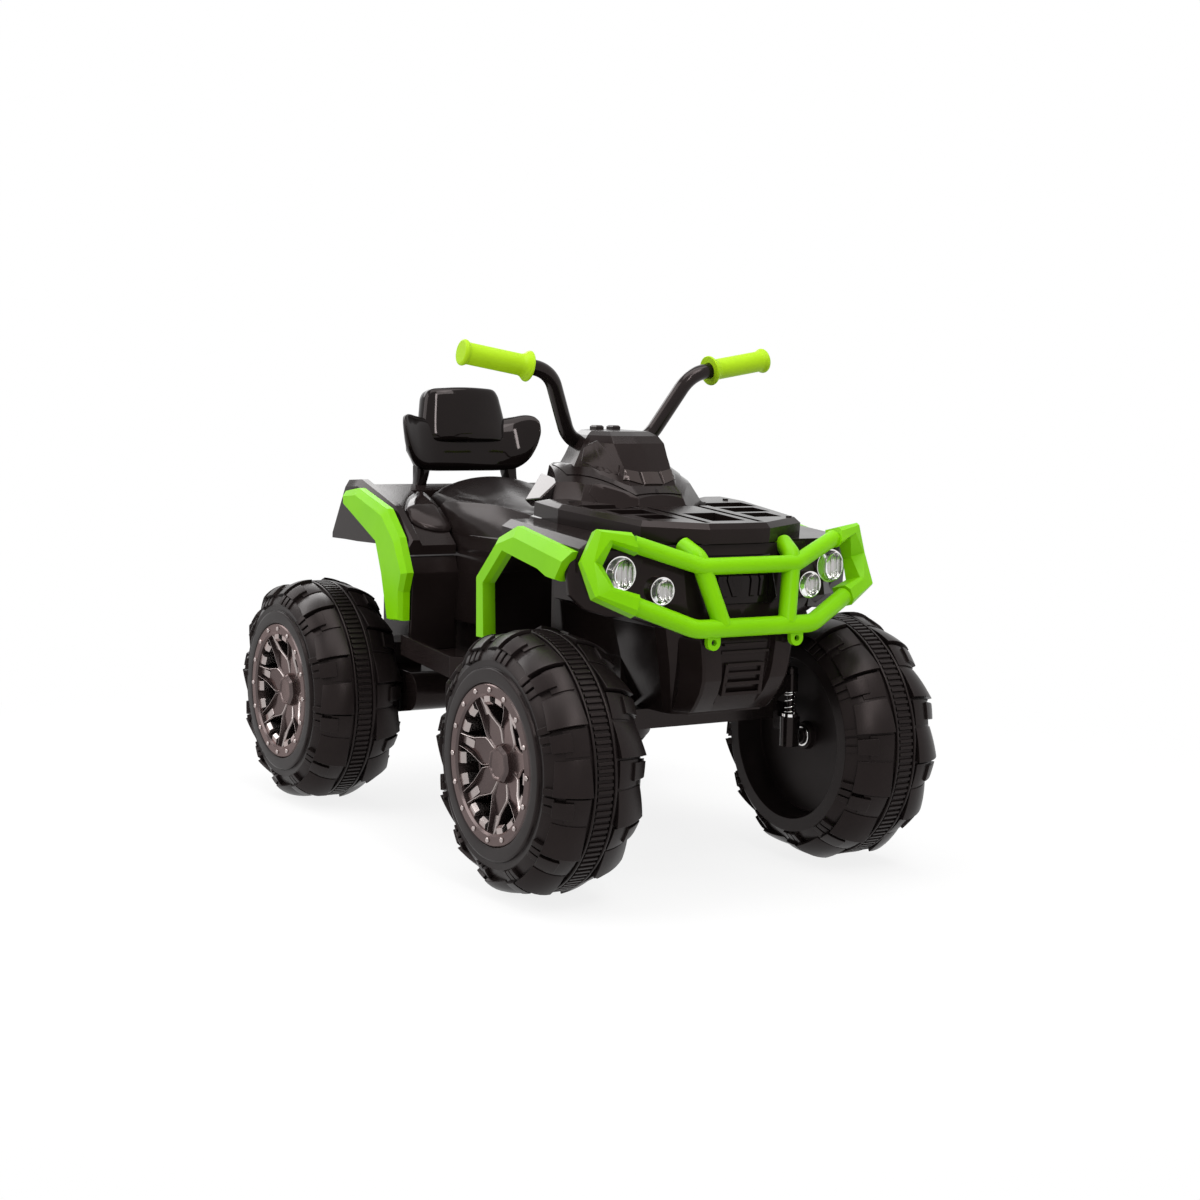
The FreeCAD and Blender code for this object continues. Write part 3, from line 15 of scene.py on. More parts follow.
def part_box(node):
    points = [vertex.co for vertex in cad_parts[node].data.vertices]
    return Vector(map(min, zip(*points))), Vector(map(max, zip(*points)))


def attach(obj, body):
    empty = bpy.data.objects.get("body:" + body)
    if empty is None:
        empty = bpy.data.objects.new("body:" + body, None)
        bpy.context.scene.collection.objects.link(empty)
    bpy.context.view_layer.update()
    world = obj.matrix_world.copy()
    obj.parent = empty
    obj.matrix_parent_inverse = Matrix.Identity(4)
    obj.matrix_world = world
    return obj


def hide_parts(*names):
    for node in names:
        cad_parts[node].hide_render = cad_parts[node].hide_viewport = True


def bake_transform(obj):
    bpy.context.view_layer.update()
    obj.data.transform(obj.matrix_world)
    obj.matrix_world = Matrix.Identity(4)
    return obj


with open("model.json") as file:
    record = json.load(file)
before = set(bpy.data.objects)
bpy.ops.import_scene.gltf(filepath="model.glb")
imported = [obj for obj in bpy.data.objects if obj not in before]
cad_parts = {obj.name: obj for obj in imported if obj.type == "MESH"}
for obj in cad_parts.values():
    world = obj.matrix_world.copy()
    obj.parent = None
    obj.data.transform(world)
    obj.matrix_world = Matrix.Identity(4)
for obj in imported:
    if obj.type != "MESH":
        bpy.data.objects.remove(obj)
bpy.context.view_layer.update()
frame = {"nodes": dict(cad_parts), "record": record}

NODES = frame["nodes"]
MM = 0.001

# %% [markdown]
# The camera stands low in front of the right side, as a product photographer would. Its place came from fitting known
# points of the toy to the picture, so it is written as a position and three angles. An aimed empty would be easier to
# move, but it can't hold the slight roll.

# %% Camera
IMAGE_SIDE = 1200
FOCAL_PIXELS = 2007.35
SENSOR_MM = 36.0
CAMERA_AT = Vector((2.5571, -1.5307, 0.6609))
AZIMUTH, ELEVATION, ROLL = (math.radians(angle) for angle in (58.004, 6.129, 1.136))


def camera_axes():
    flat = math.cos(ELEVATION)
    back = Vector((math.sin(AZIMUTH) * flat, -math.cos(AZIMUTH) * flat, math.sin(ELEVATION)))
    right = Vector((math.cos(AZIMUTH), math.sin(AZIMUTH), 0.0))
    up = back.cross(right)
    tilted_right = right * math.cos(ROLL) + up * math.sin(ROLL)
    tilted_up = up * math.cos(ROLL) - right * math.sin(ROLL)
    return tilted_right, tilted_up, back


lens = bpy.data.cameras.new("product_camera")
lens.sensor_width = SENSOR_MM
lens.lens = FOCAL_PIXELS / IMAGE_SIDE * SENSOR_MM
camera = bpy.data.objects.new("product_camera", lens)
camera.matrix_world = Matrix.Translation(CAMERA_AT) @ Matrix(camera_axes()).transposed().to_4x4()
bpy.context.scene.collection.objects.link(camera)
bpy.context.scene.camera = camera
print("camera lens", round(lens.lens, 1), "mm")

# %% [markdown]
# A black toy shows its shape through reflections. Its studio is a white room with a pale floor, a broad soft panel
# above, one on each side, a long one behind for bright edges, and a narrow upright strip that draws the highlight down
# the back rest. A single strong lamp would burn the green and leave the black flat. The white of room and floor is what
# camera, mirror and glass rays see. The light that falls on the toy comes from the panels and a dimmer room.

# %% Studio light and floor
FLOOR_SIDE = 80.0
ROOM_LIGHT = 0.42
FLOOR_WHITE_NEAR = 0.84
SHADOW_REACH = (0.5, 1.5)


def soft_panel(name, at, aim, size, watts):
    light = bpy.data.lights.new(name, "AREA")
    light.shape = "RECTANGLE"
    light.size, light.size_y = size
    light.energy = watts
    panel = bpy.data.objects.new(name, light)
    panel.location = at
    panel.rotation_euler = (Vector(aim) - Vector(at)).to_track_quat("-Z", "Y").to_euler()
    bpy.context.scene.collection.objects.link(panel)
    return panel


def joined_math(tree, operation, first, second):
    node = tree.nodes.new("ShaderNodeMath")
    node.operation = operation
    tree.links.new(first, node.inputs[0])
    tree.links.new(second, node.inputs[1])
    return node.outputs[0]


def seen_as_backdrop(tree):
    path = tree.nodes.new("ShaderNodeLightPath")
    shown = joined_math(tree, "MAXIMUM", path.outputs["Is Camera Ray"], path.outputs["Is Glossy Ray"])
    return joined_math(tree, "MAXIMUM", shown, path.outputs["Is Transmission Ray"])


def white_room():
    world = bpy.data.worlds.new("white_room")
    world.use_nodes = True
    tree = world.node_tree
    tree.nodes.clear()
    lit = tree.nodes.new("ShaderNodeBackground")
    lit.inputs["Color"].default_value = (1.0, 0.985, 0.97, 1)
    lit.inputs["Strength"].default_value = ROOM_LIGHT
    shown = tree.nodes.new("ShaderNodeBackground")
    shown.inputs["Color"].default_value = (1, 1, 1, 1)
    mix = tree.nodes.new("ShaderNodeMixShader")
    out = tree.nodes.new("ShaderNodeOutputWorld")
    tree.links.new(seen_as_backdrop(tree), mix.inputs[0])
    tree.links.new(lit.outputs[0], mix.inputs[1])
    tree.links.new(shown.outputs[0], mix.inputs[2])
    tree.links.new(mix.outputs[0], out.inputs[0])
    bpy.context.scene.world = world


def whiteness_by_distance(tree):
    place = tree.nodes.new("ShaderNodeNewGeometry")
    reach = tree.nodes.new("ShaderNodeVectorMath")
    reach.operation = "LENGTH"
    spread = tree.nodes.new("ShaderNodeMapRange")
    spread.interpolation_type = "SMOOTHSTEP"
    spread.inputs["From Min"].default_value = SHADOW_REACH[0]
    spread.inputs["From Max"].default_value = SHADOW_REACH[1]
    spread.inputs["To Min"].default_value = FLOOR_WHITE_NEAR
    spread.inputs["To Max"].default_value = 1.0
    tree.links.new(place.outputs["Position"], reach.inputs[0])
    tree.links.new(reach.outputs["Value"], spread.inputs["Value"])
    return spread.outputs[0]


def pale_floor():
    half = FLOOR_SIDE / 2
    mesh = bpy.data.meshes.new("studio_floor")
    mesh.from_pydata([(-half, -half, 0), (half, -half, 0), (half, half, 0), (-half, half, 0)], [], [(0, 1, 2, 3)])
    floor = bpy.data.objects.new("studio_floor", mesh)
    bpy.context.scene.collection.objects.link(floor)
    paint = bpy.data.materials.new("pale_floor")
    paint.use_nodes = True
    tree = paint.node_tree
    matte = tree.nodes["Principled BSDF"]
    matte.inputs["Base Color"].default_value = (0.9, 0.9, 0.9, 1)
    matte.inputs["Roughness"].default_value = 0.8
    matte.inputs["Specular IOR Level"].default_value = 0.1
    glow = tree.nodes.new("ShaderNodeEmission")
    share = joined_math(tree, "MULTIPLY", seen_as_backdrop(tree), whiteness_by_distance(tree))
    mix = tree.nodes.new("ShaderNodeMixShader")
    tree.links.new(share, mix.inputs[0])
    tree.links.new(matte.outputs[0], mix.inputs[1])
    tree.links.new(glow.outputs[0], mix.inputs[2])
    tree.links.new(mix.outputs[0], tree.nodes["Material Output"].inputs[0])
    mesh.materials.append(paint)


bpy.context.scene.view_settings.view_transform = "Standard"
white_room()
pale_floor()
soft_panel("top_panel", (0.3, -0.2, 2.6), (0, 0, 0.3), (2.4, 1.6), 42)
soft_panel("left_panel", (-0.6, -2.6, 2.1), (0, 0, 0.35), (2.2, 1.6), 38)
soft_panel("front_panel", (2.0, 0.2, 3.0), (0.2, 0, 0.35), (1.4, 1.2), 30)
soft_panel("strip_panel", (1.89, -0.47, 1.79), (-0.28, -0.04, 0.6), (0.16, 0.9), 10)
soft_panel("back_panel", (-2.4, -0.3, 1.95), (0, 0, 0.45), (3.0, 0.9), 34)
print("studio: 5 soft panels, white room, pale floor")

# %% [markdown]
# Most of the toy is one moulded plastic: nearly black with a warm cast, satin, with a fine sand grain from the mould.
# It mirrors little when seen head on and much at a flat angle, so its decks look pale and its sides black. One finish
# function makes every plastic, with the colour, gloss and grain as its arguments. Copying whole node trees would also
# work, but they drift apart as they are tuned.

# %% Moulded plastics
def add(tree, kind, **values):
    node = tree.nodes.new(kind)
    for name, value in values.items():
        node.inputs[name].default_value = value
    return node


def grain_bump(tree, shader, scale, strength, distance):
    place = tree.nodes.new("ShaderNodeTexCoord")
    grain = add(tree, "ShaderNodeTexNoise", Scale=scale, Detail=4.0, Roughness=0.6)
    bump = add(tree, "ShaderNodeBump", Strength=strength, Distance=distance)
    tree.links.new(place.outputs["Object"], grain.inputs["Vector"])
    tree.links.new(grain.outputs[0], bump.inputs["Height"])
    tree.links.new(bump.outputs[0], shader.inputs["Normal"])
    return place


def uneven(tree, place, shader, socket, low, high, scale):
    cloud = add(tree, "ShaderNodeTexNoise", Scale=scale, Detail=3.0, Roughness=0.55)
    spread = tree.nodes.new("ShaderNodeMapRange")
    spread.inputs["From Min"].default_value = 0.3
    spread.inputs["From Max"].default_value = 0.7
    spread.inputs["To Min"].default_value = low
    spread.inputs["To Max"].default_value = high
    tree.links.new(place.outputs["Object"], cloud.inputs["Vector"])
    tree.links.new(cloud.outputs[0], spread.inputs["Value"])
    tree.links.new(spread.outputs[0], shader.inputs[socket])


def tinted(tree, place, shader, dark, light, scale):
    cloud = add(tree, "ShaderNodeTexNoise", Scale=scale, Detail=5.0, Roughness=0.6)
    ramp = tree.nodes.new("ShaderNodeValToRGB")
    ramp.color_ramp.elements[0].position = 0.35
    ramp.color_ramp.elements[1].position = 0.68
    ramp.color_ramp.elements[0].color = (*dark, 1)
    ramp.color_ramp.elements[1].color = (*light, 1)
    tree.links.new(place.outputs["Object"], cloud.inputs["Vector"])
    tree.links.new(cloud.outputs[0], ramp.inputs[0])
    tree.links.new(ramp.outputs[0], shader.inputs["Base Color"])


def moulded(name, dark, light, gloss, grain=(700.0, 0.12, 0.0004), metal=0.0, coat=0.0, mirror=0.5):
    finish = bpy.data.materials.new(name)
    finish.use_nodes = True
    tree = finish.node_tree
    shader = tree.nodes["Principled BSDF"]
    shader.inputs["Metallic"].default_value = metal
    shader.inputs["Coat Weight"].default_value = coat
    shader.inputs["Coat Roughness"].default_value = 0.05
    shader.inputs["Specular IOR Level"].default_value = mirror
    shader.inputs["Specular Tint"].default_value = WARM_SHEEN
    place = grain_bump(tree, shader, *grain)
    tinted(tree, place, shader, dark, light, 9.0)
    uneven(tree, place, shader, "Roughness", gloss[0], gloss[1], 14.0)
    return finish


WARM_SHEEN = (1.0, 0.84, 0.82, 1.0)
FINISH = {
    "body_plastic": moulded("satin_black_plastic", (0.0085, 0.0058, 0.0055), (0.0125, 0.0090, 0.0086), (0.13, 0.21),
                            (620.0, 0.06, 0.0003), mirror=0.15),
    "gloss_plastic": moulded("gloss_black_plastic", (0.0035, 0.0024, 0.0023), (0.0055, 0.0040, 0.0038), (0.04, 0.08),
                             (60.0, 0.03, 0.001), coat=0.1, mirror=0.14),
    "green_plastic": moulded("bright_green_plastic", (0.162, 0.465, 0.0), (0.188, 0.515, 0.001), (0.3, 0.4),
                             (500.0, 0.1, 0.0004), mirror=0.12),
    "grip_green": moulded("yellow_green_plastic", (0.3, 0.51, 0.006), (0.335, 0.56, 0.01), (0.4, 0.5),
                          (420.0, 0.14, 0.0004), mirror=0.12),
    "tyre_plastic": moulded("tyre_black_plastic", (0.0062, 0.0045, 0.0044), (0.0105, 0.0078, 0.0077), (0.3, 0.4),
                            (420.0, 0.12, 0.0004), mirror=0.16),
    "rim_plastic": moulded("gunmetal_paint", (0.072, 0.056, 0.055), (0.1, 0.08, 0.078), (0.16, 0.26),
                           (900.0, 0.05, 0.0002), 0.85),
    # painted highlight: this much lighter gunmetal on the disc edges, channel floors, bolts and lugs stands in for the
    # light they catch
    "rim_painted_highlights": moulded("gunmetal_painted_highlights", (0.34, 0.30, 0.29), (0.44, 0.39, 0.38), (0.16, 0.26),
                         (900.0, 0.05, 0.0002), 0.9),
    "seat_cover": moulded("plain_leatherette", (0.0065, 0.0048, 0.0047), (0.0095, 0.0072, 0.0072), (0.24, 0.32),
                          (240.0, 0.08, 0.0004), mirror=0.09),
    "lamp_chrome": moulded("bright_chrome", (0.84, 0.82, 0.81), (0.9, 0.88, 0.87), (0.08, 0.16),
                           (40.0, 0.02, 0.001), 1.0),
    "steel_black": moulded("black_steel_paint", (0.005, 0.0038, 0.0037), (0.0075, 0.0057, 0.0055), (0.12, 0.2),
                           mirror=0.25),
    "steel_bright": moulded("plated_steel", (0.74, 0.73, 0.72), (0.82, 0.81, 0.8), (0.1, 0.18),
                            (300.0, 0.05, 0.0003), 1.0),
    "button_red": moulded("red_button_plastic", (0.4, 0.008, 0.008), (0.46, 0.012, 0.012), (0.12, 0.2)),
    "button_dark": moulded("dark_button_plastic", (0.010, 0.008, 0.008), (0.015, 0.012, 0.012), (0.3, 0.4), mirror=0.2),
}
print("finishes:", ", ".join(sorted(m.name for m in FINISH.values())))

# %% [markdown]
# The head lamp lenses are clear plastic: they let light through and bend it a little, with only a trace of tint.

# %% Clear lens plastic
def clear_plastic(name):
    finish = bpy.data.materials.new(name)
    finish.use_nodes = True
    shader = finish.node_tree.nodes["Principled BSDF"]
    shader.inputs["Base Color"].default_value = (0.97, 0.98, 0.98, 1)
    shader.inputs["Transmission Weight"].default_value = 1.0
    shader.inputs["IOR"].default_value = 1.4
    place = finish.node_tree.nodes.new("ShaderNodeTexCoord")
    uneven(finish.node_tree, place, shader, "Roughness", 0.01, 0.04, 60.0)
    return finish


FINISH["lamp_clear"] = clear_plastic("clear_lamp_plastic")
print("clear plastic ready")

# %% [markdown]
# Moulded edges are never knife sharp: each catches a thin line of light. The construction's meshes are triangles, so
# three modifiers prepare them: Weld joins the faces, Decimate in its planar mode turns flat triangles back into whole
# panels, and Bevel rounds the edges between panels. Beveling the raw triangles would jam at every thin one.

# %% Dress the construction
EDGE_SOFT = {"body_plastic": 0.0016, "green_plastic": 0.0022, "gloss_plastic": 0.003, "rim_plastic": 0.0008,
             "tyre_plastic": 0.0012}
SHARP_ANGLE = math.radians(14)
PLANAR_ANGLE = math.radians(0.4)


def soften_edges(piece, width, segments=3):
    edge = piece.modifiers.new("soft_edges", "BEVEL")
    edge.width = width
    edge.segments = segments
    edge.limit_method = "ANGLE"
    edge.angle_limit = SHARP_ANGLE
    smooth = piece.modifiers.new("panel_shading", "WEIGHTED_NORMAL")
    smooth.weight = 80
    smooth.keep_sharp = False


def whole_panels(piece):
    weld = piece.modifiers.new("joined_faces", "WELD")
    weld.merge_threshold = 0.00002
    flat = piece.modifiers.new("whole_panels", "DECIMATE")
    flat.decimate_type = "DISSOLVE"
    flat.angle_limit = PLANAR_ANGLE


def dress_construction():
    for entry in frame["record"]["subparts"]:
        piece = NODES[entry["node"]]
        slot = entry["material_slot"]
        finish = "grip_green" if entry["node"].startswith("grip_") else slot
        for place in piece.material_slots:
            place.material = FINISH[finish]
        if slot in EDGE_SOFT:
            whole_panels(piece)
            soften_edges(piece, EDGE_SOFT[slot])


dress_construction()
print("dressed", len(NODES), "nodes")

# %% [markdown]
# The finer pieces are built as plain meshes from rings of points, the way a mould maker lofts a shape from sections.
# One helper lays faces between the rings, another turns the points into a piece that rides a body. Sculpting would
# also give such forms, but rings keep every measure readable.

# %% Rings of points into pieces
def skin(rings, ends=True, wrapped=False):
    count = len(rings[0])
    points = [tuple(point) for ring in rings for point in ring]
    faces = []
    for here in range(len(rings) if wrapped else len(rings) - 1):
        there = (here + 1) % len(rings)
        for step in range(count):
            after = (step + 1) % count
            faces.append((here * count + step, here * count + after, there * count + after, there * count + step))
    if ends and not wrapped:
        faces.append(tuple(range(count)))
        faces.append(tuple(range(len(points) - count, len(points))))
    return points, faces


def make_piece(name, shells, body, finish, edge=0.0):
    mesh = bmesh.new()
    for points, faces in shells:
        corners = [mesh.verts.new(Vector(point) * MM) for point in points]
        for face in faces:
            mesh.faces.new([corners[index] for index in face])
    bmesh.ops.recalc_face_normals(mesh, faces=mesh.faces)
    data = bpy.data.meshes.new(name)
    mesh.to_mesh(data)
    mesh.free()
    data.shade_smooth()
    data.materials.append(FINISH[finish])
    piece = bpy.data.objects.new(name, data)
    bpy.context.scene.collection.objects.link(piece)
    if edge:
        soften_edges(piece, edge, 2)
    if body:
        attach(piece, body)
    return piece


print("ring helpers ready")

# %% [markdown]
# The tyres are hollow blow moulded plastic. A smooth ring frames the rim, then stepped ridges climb the side wall, and
# stair-like blocks lie over both shoulders, half a pitch apart. A ribbed band runs round the middle to quieten the
# drive. Each block is its own closed plate on the shoulder's arc, because its thickness grows along the turn like a
# saw tooth, which no plain revolve could give.

# %% Tyres
AXLE_Z = 175.0
WHEELS = {"front_left": (343.0, 1), "front_right": (343.0, -1), "rear_left": (-343.0, 1), "rear_right": (-343.0, -1)}
TRACK_HALF = 239.0
BLOCK_PITCHES = 12
RIB_COUNT = 120
ROUND_STEPS = 120
FRONT_HUB_BACK, REAR_HUB_BACK = 46.0, 80.5


def wheel_place(x, side):
    def place(w, r, phi):
        return x + r * math.sin(phi), side * (TRACK_HALF + w), AXLE_Z + r * math.cos(phi)
    return place


def arc_through(first, middle, last):
    (ax, ay), (bx, by), (cx, cy) = first, middle, last
    a, b, c = ax * ax + ay * ay, bx * bx + by * by, cx * cx + cy * cy
    twice = 2 * (ax * (by - cy) + bx * (cy - ay) + cx * (ay - by))
    centre = ((a * (by - cy) + b * (cy - ay) + c * (ay - by)) / twice,
              (a * (cx - bx) + b * (ax - cx) + c * (bx - ax)) / twice)
    radius = math.hypot(ax - centre[0], ay - centre[1])
    start = math.atan2(ay - centre[1], ax - centre[0])
    turn = math.remainder(math.atan2(cy - centre[1], cx - centre[0]) - start, 2 * math.pi)

    def at(share, lift=0.0):
        angle = start + turn * share
        return centre[0] + (radius + lift) * math.cos(angle), centre[1] + (radius + lift) * math.sin(angle)
    return at


def spun(profile, place, steps=ROUND_STEPS, shape=lambda phi: 1.0):
    rings = []
    for step in range(steps):
        phi = 2 * math.pi * step / steps
        rings.append([place(w, r * shape(phi), phi) for w, r in profile])
    return skin(rings, wrapped=True)


OUTER_ARC = arc_through((20, 166), (54, 153), (67.5, 134))
INNER_ARC = arc_through((-20, 166), (-54, 153), (-75, 132))


def carcass(place, hub_back):
    profile = [(60, 105.4), (69.5, 105.4), (70.6, 107), (71, 112), (70.7, 122), (69.8, 124.4), (66.5, 125.4)]
    profile += [OUTER_ARC(1 - step / 10) for step in range(11)]
    profile += [INNER_ARC(step / 10) for step in range(11)]
    profile += [(-75, 114), (-38, 108), (-38, 20), (-hub_back, 18), (-hub_back, 6.6), (36, 6.6), (36, 14),
                (-34.8, 14), (-34.8, 111.2), (-71.8, 117.2), (-71, 129)]
    profile += [INNER_ARC(0.8, -4), INNER_ARC(0.4, -4), (-18, 162), (18, 162), OUTER_ARC(0.5, -4), (63, 132), (66, 110),
                (56.8, 108.5), (56.8, 97.5), (60, 97.5)]
    return spun(profile, place)


def block(place, arc, shares, phis, lifts, rows=4, columns=5, sunk=2.5):
    rings = []
    for column in range(columns + 1):
        along = column / columns
        phi = math.radians(phis[0] + (phis[1] - phis[0]) * along)
        lift = lifts[0] + (lifts[1] - lifts[0]) * along
        spread = [shares[0] + (shares[1] - shares[0]) * row / rows for row in range(rows + 1)]
        top = [place(*arc(share, lift * (1 + 0.3 * share)), phi) for share in spread]
        under = [place(*arc(share, -sunk), phi) for share in reversed(spread)]
        rings.append(top + under)
    return skin(rings)


def ribbed_band(place):
    rings = []
    for rib in range(RIB_COUNT):
        for share, height in ((0.0, 170.2), (0.46, 170.2), (0.54, 167.2), (0.96, 167.2)):
            phi = 2 * math.pi * (rib + share) / RIB_COUNT
            rings.append([place(w, r, phi) for w, r in ((-11, 160), (-11, height), (11, height), (11, 160))])
    return skin(rings, wrapped=True)


def tyre_shells(place, hub_back):
    shells = [carcass(place, hub_back), ribbed_band(place)]
    for w in (12.6, -16.2):
        shells.append(spun([(w, 162), (w, 169.6), (w + 1.0, 170.4), (w + 2.6, 170.4), (w + 3.6, 169.6), (w + 3.6, 162)],
                           place))
    pitch = 360.0 / BLOCK_PITCHES
    for number in range(BLOCK_PITCHES):
        for arc, start in ((OUTER_ARC, number * pitch), (INNER_ARC, (number + 0.5) * pitch)):
            shells.append(block(place, arc, (0.0, 0.74), (start - 11, start + 5), (1.0, 8.8), 7, 6))
            shells.append(block(place, arc, (0.0, 0.5), (start + 6, start + 18), (4.4, 1.6), 5, 4))
            shells.append(block(place, arc, (0.34, 0.74), (start + 7.5, start + 15.5), (7.2, 5.2)))
            for ridge in range(3):
                first = start + 2.0 + 4.6 * ridge
                shells.append(block(place, arc, (0.72, 0.98), (first, first + 3.4), (4.4 - ridge, 4.0 - ridge), 4, 1))
    return shells


for name, (x, side) in WHEELS.items():
    hub_back = FRONT_HUB_BACK if name.startswith("front") else REAR_HUB_BACK
    tyre = make_piece("lugged_tyre_" + name, tyre_shells(wheel_place(x, side), hub_back), "wheel_" + name,
                      "tyre_plastic", edge=0.0007)
    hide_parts("tyre_" + name)
print("tyres:", len(WHEELS), "with", len(tyre.data.polygons), "faces each")

# %% [markdown]
# The wheel discs are pressed into the tyres: a flat ring with sixteen hex bolts, seven spokes that meet in a plate
# round the hub, pointed windows between them and a seven sided cap over the axle nut. They are painted gunmetal. The
# raised spoke edges, the channel floors, the bolts and two lugs in every window carry a painted highlight: a much
# lighter gunmetal stands in for the light that they catch, so they form a piece of their own. Each row of the spoke
# table gives a radius, half the width, and the heights of face and channel floor.

# %% Wheel discs
SPOKES = 7
BOLTS = 16
BOLT_CIRCLE = 97.3
LUG_TURN = math.radians(10)
SPOKE_STATIONS = ((24, 11.3, 50.5, 50.2), (38, 18.0, 53.0, 51.5), (44, 20.4, 55.0, 52.5), (52, 17.6, 57.5, 53.5),
                  (63, 13.0, 61, 55), (75, 11.0, 64, 57), (89, 10.0, 67.5, 58.5))


def disc_shells(place):
    ring = [(60, 105), (69, 105), (71, 103.2), (71, 91.5), (68.5, 88.6), (40, 85), (38, 84), (38, 89), (58, 92),
            (60, 93)]
    hub = [(36.2, 7), (36.2, 30), (46, 35), (49.5, 31), (50, 7)]
    cap = [(42, 14), (42, 27), (55.5, 25), (59.2, 22), (59.6, 19.5), (58, 17.6), (57.6, 0.4), (55.2, 0.4), (55.2, 14)]
    shells = [spun(ring, place), spun(hub, place, 56)]
    shells.append(spun(cap, place, 56, lambda phi: 0.965 + 0.035 * math.cos(phi * SPOKES)))
    for number in range(SPOKES):
        centre = 2 * math.pi * (number + 0.5) / SPOKES
        rings = []
        for r, half, face, floor in SPOKE_STATIONS:
            section = [(-half * 0.86, face - 26), (-half, face - 3), (2.0 - half, face), (3.4 - half, floor),
                       (half - 3.4, floor), (half - 2.0, face), (half, face - 3), (half * 0.86, face - 26)]
            rings.append([place(w, math.hypot(r, v), centre + math.atan2(v, r)) for v, w in section])
        shells.append(skin(rings))
    return shells


# painted highlight: these edge strips, channel floors, bolts and lugs get a lighter gunmetal that stands in for the
# light on them
def painted_highlight_shells(place):
    shells = []
    for number in range(2 * SPOKES):
        phi = 2 * math.pi * (number // 2) / SPOKES + (LUG_TURN if number % 2 else -LUG_TURN)
        lug = []
        for w, near, half in ((42, 80, 6.4), (62, 77, 7.4), (67, 81, 7.4)):
            corners = [(92, -half - 1), (near, -half), (near, half), (92, half + 1)]
            lug.append([place(w, math.hypot(r, v), phi + math.atan2(v, r)) for r, v in corners])
        shells.append(skin(lug))
    for number in range(BOLTS):
        phi = 2 * math.pi * number / BOLTS
        rings = []
        for w, size in ((69, 3.9), (72, 3.9), (73.2, 3.0), (73.6, 1.2)):
            corners = [math.pi / 3 * corner for corner in range(6)]
            points = [(BOLT_CIRCLE + size * math.cos(turn), size * math.sin(turn)) for turn in corners]
            rings.append([place(w, math.hypot(*point), phi + math.atan2(point[1], point[0])) for point in points])
        shells.append(skin(rings))
    for number in range(SPOKES):
        centre = 2 * math.pi * (number + 0.5) / SPOKES
        floor_plate = []
        for r, half, w in ((67, 5.0, 56.6), (69, 5.8, 57.6), (84, 5.4, 61.0), (90, 5.2, 61.6)):
            section = [(-half, w - 4), (-half, w), (half, w), (half, w - 4)]
            floor_plate.append([place(deep, math.hypot(r, v), centre + math.atan2(v, r)) for v, deep in section])
        shells.append(skin(floor_plate))
        for side in (1, -1):
            rings = []
            for r, half, face, _ in SPOKE_STATIONS:
                strip = [(half + 0.3, face - 2.8), (half - 0.9, face - 0.2), (half - 1.9, face + 0.5),
                         (half - 2.2, face - 1.5)]
                rings.append([place(w, math.hypot(r, v), centre + side * math.atan2(v, r)) for v, w in strip])
            shells.append(skin(rings))
    return shells


for name, (x, side) in WHEELS.items():
    place = wheel_place(x, side)
    disc = make_piece("spoked_disc_" + name, disc_shells(place), "wheel_" + name, "rim_plastic", edge=0.0007)
    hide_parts("rim_" + name)
    make_piece("disc_painted_highlights_" + name, painted_highlight_shells(place), "wheel_" + name, "rim_painted_highlights", 0.0004)
for name in ("front_left", "front_right"):
    washer = [(-46.4, 10.6), (-46.4, 14.4), (-47.4, 15.2), (-48.4, 14.4), (-48.8, 10.6)]
    make_piece("hub_washer_" + name, [spun(washer, wheel_place(*WHEELS[name]), 48)], "wheel_" + name, "steel_bright")
print("wheel discs:", SPOKES, "spokes,", BOLTS, "bolts")

# %% [markdown]
# The seat is a thin foam pad in plain leatherette, drawn over a board and stapled below. A cloth simulation gives it
# the right softness: a copy of the solid is remeshed, held along its bottom and along a seam, and puffed up by inner
# pressure, so the seam pulls in and the cover bulges beside it. Modelling the bulge by hand would look stiffer.

# %% Seat cushion
SEAT_LOW = 438.0
SEAM_INSET = 15.0
PUFF_FRAMES = 20
PUFF_LIMIT = 7.0 * MM
SEAM_DEPTH = 2.2 * MM


def remeshed_copy(node, name, voxel):
    source = NODES[node]
    piece = bpy.data.objects.new(name, source.data.copy())
    bpy.context.scene.collection.objects.link(piece)
    piece.matrix_world = source.matrix_world.copy()
    voxels = piece.modifiers.new("voxels", "REMESH")
    voxels.mode = "VOXEL"
    voxels.voxel_size = voxel
    bpy.context.view_layer.update()
    shape = bpy.data.meshes.new_from_object(piece.evaluated_get(bpy.context.evaluated_depsgraph_get()))
    piece.modifiers.clear()
    piece.data = shape
    shape.transform(piece.matrix_world)
    piece.matrix_world = Matrix.Identity(4)
    return piece


def puffed(piece, held):
    group = piece.vertex_groups.new(name="held")
    for index, weight in held.items():
        group.add([index], weight, "REPLACE")
    cloth = piece.modifiers.new("stuffing", "CLOTH")
    cloth.settings.quality = 6
    cloth.settings.mass = 0.25
    cloth.settings.tension_stiffness = 12
    cloth.settings.compression_stiffness = 12
    cloth.settings.bending_stiffness = 0.4
    cloth.settings.use_pressure = True
    cloth.settings.uniform_pressure_force = 4
    cloth.settings.vertex_group_mass = "held"
    cloth.settings.effector_weights.gravity = 0
    for number in range(1, PUFF_FRAMES + 1):
        bpy.context.scene.frame_set(number)
    shape = piece.evaluated_get(bpy.context.evaluated_depsgraph_get()).to_mesh()
    moved = [vertex.co.copy() for vertex in shape.vertices]
    piece.modifiers.clear()
    bpy.context.scene.frame_set(1)
    return moved


